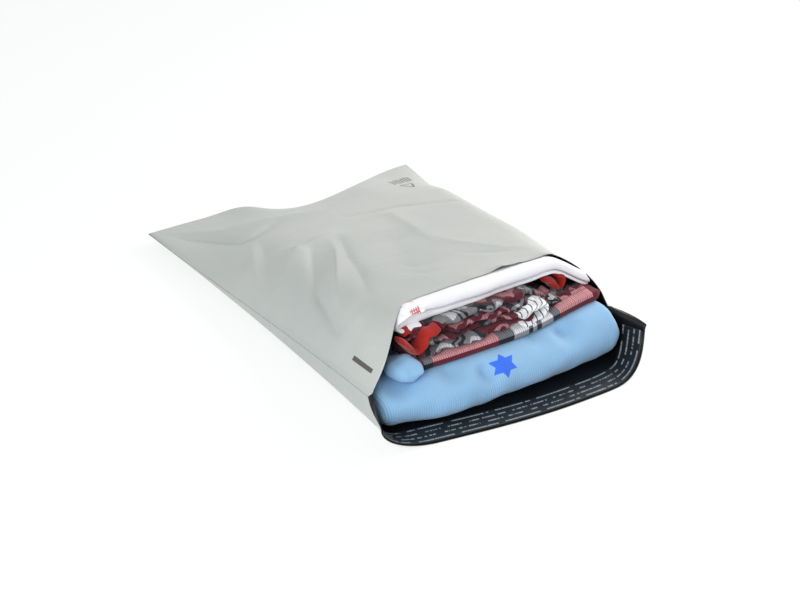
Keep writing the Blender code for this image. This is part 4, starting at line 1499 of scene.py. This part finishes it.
# %% Build the lining folds and the cuff
# Each band: its path, its centre, its turn, half its thickness, half its depth, its finish and a seed
SHIRT_BANDS = {
    "lining_left": (
        ((-22, 10), (-14, 3), (-9, -8), (0, -11), (8, -4), (9, 6), (18, 7), (28, 9)),
        (-0.086, -0.179, 0.077), radians(6), 0.0036, 0.011, RED, 61,
    ),
    "lining_top_left": (
        ((-14, 4), (-6, 6), (2, 2), (10, 3), (16, 0)),
        (-0.084, -0.163, 0.080), radians(6), 0.0034, 0.010, RED, 64,
    ),
    "lining_right": (
        ((-12, 7), (-3, 5), (2, -6), (8, -9), (13, -1), (12, 6), (5, 8)),
        (0.103, -0.160, 0.081), radians(10), 0.0040, 0.010, RED, 67,
    ),
    "cuff": (
        ((-18, -9), (-4, -7), (11, -5), (17, 0), (15, 7), (3, 8), (-14, 4), (-20, 2)),
        (0.055, -0.189, 0.0745), radians(8), 0.0040, 0.012, PALE, 70,
    ),
}
for name, shape in SHIRT_BANDS.items():
    band = bent_band(name, *shape)
    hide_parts("plaid_shirt")

# %% [markdown]
# The white T-shirt on top is a fine jersey, whose knit only shows close up. A small woven
# label is sewn in at its left end. It is placed by where it is on the bag, since there it
# lies across two folds of the cloth.

# %% Finish of the white jersey
LABEL = (-0.0800, 0.1065)
LABEL_HALF = (0.0060, 0.0036)
LABEL_SLOPE = 0.10
LABEL_BEHIND = -0.150
LABEL_BARS = (0.0028, 0.0024)
JERSEY_PITCH = 0.0011


def white_jersey():
    finish = Finish("white jersey")
    u, _, _ = finish.split(finish.cloth_place())
    place = finish.place()
    x, y, z = finish.split(place)
    cloud = finish.noise(place, 20, 3)
    cloth = finish.mix(cloud, linear(236, 235, 240), linear(248, 247, 251))
    du, dv = x - LABEL[0], z - LABEL[1] - (x - LABEL[0]) * LABEL_SLOPE
    inside = du.near(0, LABEL_HALF[0], 0.0004) * dv.near(0, LABEL_HALF[1], 0.0004) * y.below(LABEL_BEHIND, 0.001)
    upright = (du / LABEL_BARS[0]).math("FRACT").above(0.55, 0.2)
    level = (dv / LABEL_BARS[1]).math("FRACT").above(0.6, 0.2)
    bars = upright.math("MAXIMUM", level)
    finish.coat(finish.mix(inside * (bars * 0.75 + 0.12), cloth, linear(196, 44, 66)), cloud * 0.1 + 0.85)
    jersey = (u * (2 * pi / JERSEY_PITCH)).math("SINE") * 0.5 + finish.noise(place, 900, 2) * 0.5
    finish.bump(jersey, 0.3, 0.0005)
    finish.constants(Sheen_Weight=0.2, Specular_IOR_Level=0.2)
    return finish.material


JERSEY = white_jersey()
print("finish", JERSEY.name)

# %% [markdown]
# The T-shirt's front is one thick roll with a thinner fold under it, and its right end hangs
# down over the flannel. At its left end the lower fold comes up nearly to the middle, and an
# outer layer, a bent band, wraps round both.


# %% Build the white garment
def white_droop(x, y):
    return WHITE_DROOP * drooping(x) * near_mouth(y)


def white_dents(loops):
    x, y, z = loops[..., 0], loops[..., 1], loops[..., 2]
    front = smooth_step((STACK_FRONT_Y + 0.03 - y) / 0.03)
    soft = ripple_field(x, y, z, 8, 0.045) * 0.0014 + ripple_field(x, y, z, 9, 0.016) * 0.0006
    return np.stack([x, y + soft * front, z], -1)


def make_white():
    xs, full = stations(WHITE_LEFT, WHITE_RIGHT, 0.016, 0.008, 170)
    askew = 0.045 * smooth_step((-xs - 0.055) / 0.05)
    corner = 0.008 * (1 - full)
    from_left = (0.0, 0.006, 0.014, 0.028, 0.060, 0.110, 0.30)
    share = np.interp(xs - WHITE_LEFT, from_left, (0.05, 0.10, 0.52, 0.56, 0.40, 0.28, 0.30))
    layers = [(share, 0.003 + 0.0006 * wave(xs, 41, 0.03), 0.006, 0.012), (1.0, 0.0, 0.008, 0.0)]
    base = lambda x, y: layer_top(x, y, 2) + SEAT - white_droop(x, y)
    top = lambda x, y: np.minimum(layer_top(x, y, 3) - white_droop(x, y), roof(x, y))
    rear = WHITE_FRONT_Y + WHITE_LENGTH - corner - askew
    front = WHITE_FRONT_Y + corner - WHITE_REACH * drooping(xs)
    gap = 0.0012 + 0.0014 * smooth_step((WHITE_LEFT + 0.05 - xs) / 0.02)
    loops = fold_loops(xs, full, front, rear, base, top, layers, 0.006, gap, 0.85)
    white, _, _ = loft("white_garment", loops, [JERSEY], white_dents, BASE_LOOPS)
    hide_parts("white_tshirt")
    return white


make_white()
WRAP = ((24, 9), (8, 9.5), (-6, 8), (-13, 1), (-12, -7), (-3, -10.5), (9, -9), (19, -7))
wrap = bent_band("white_wrap", WRAP, (-0.091, -0.161, 0.0962), 0, 0.0022, 0.010, JERSEY, 75)
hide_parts("white_tshirt")
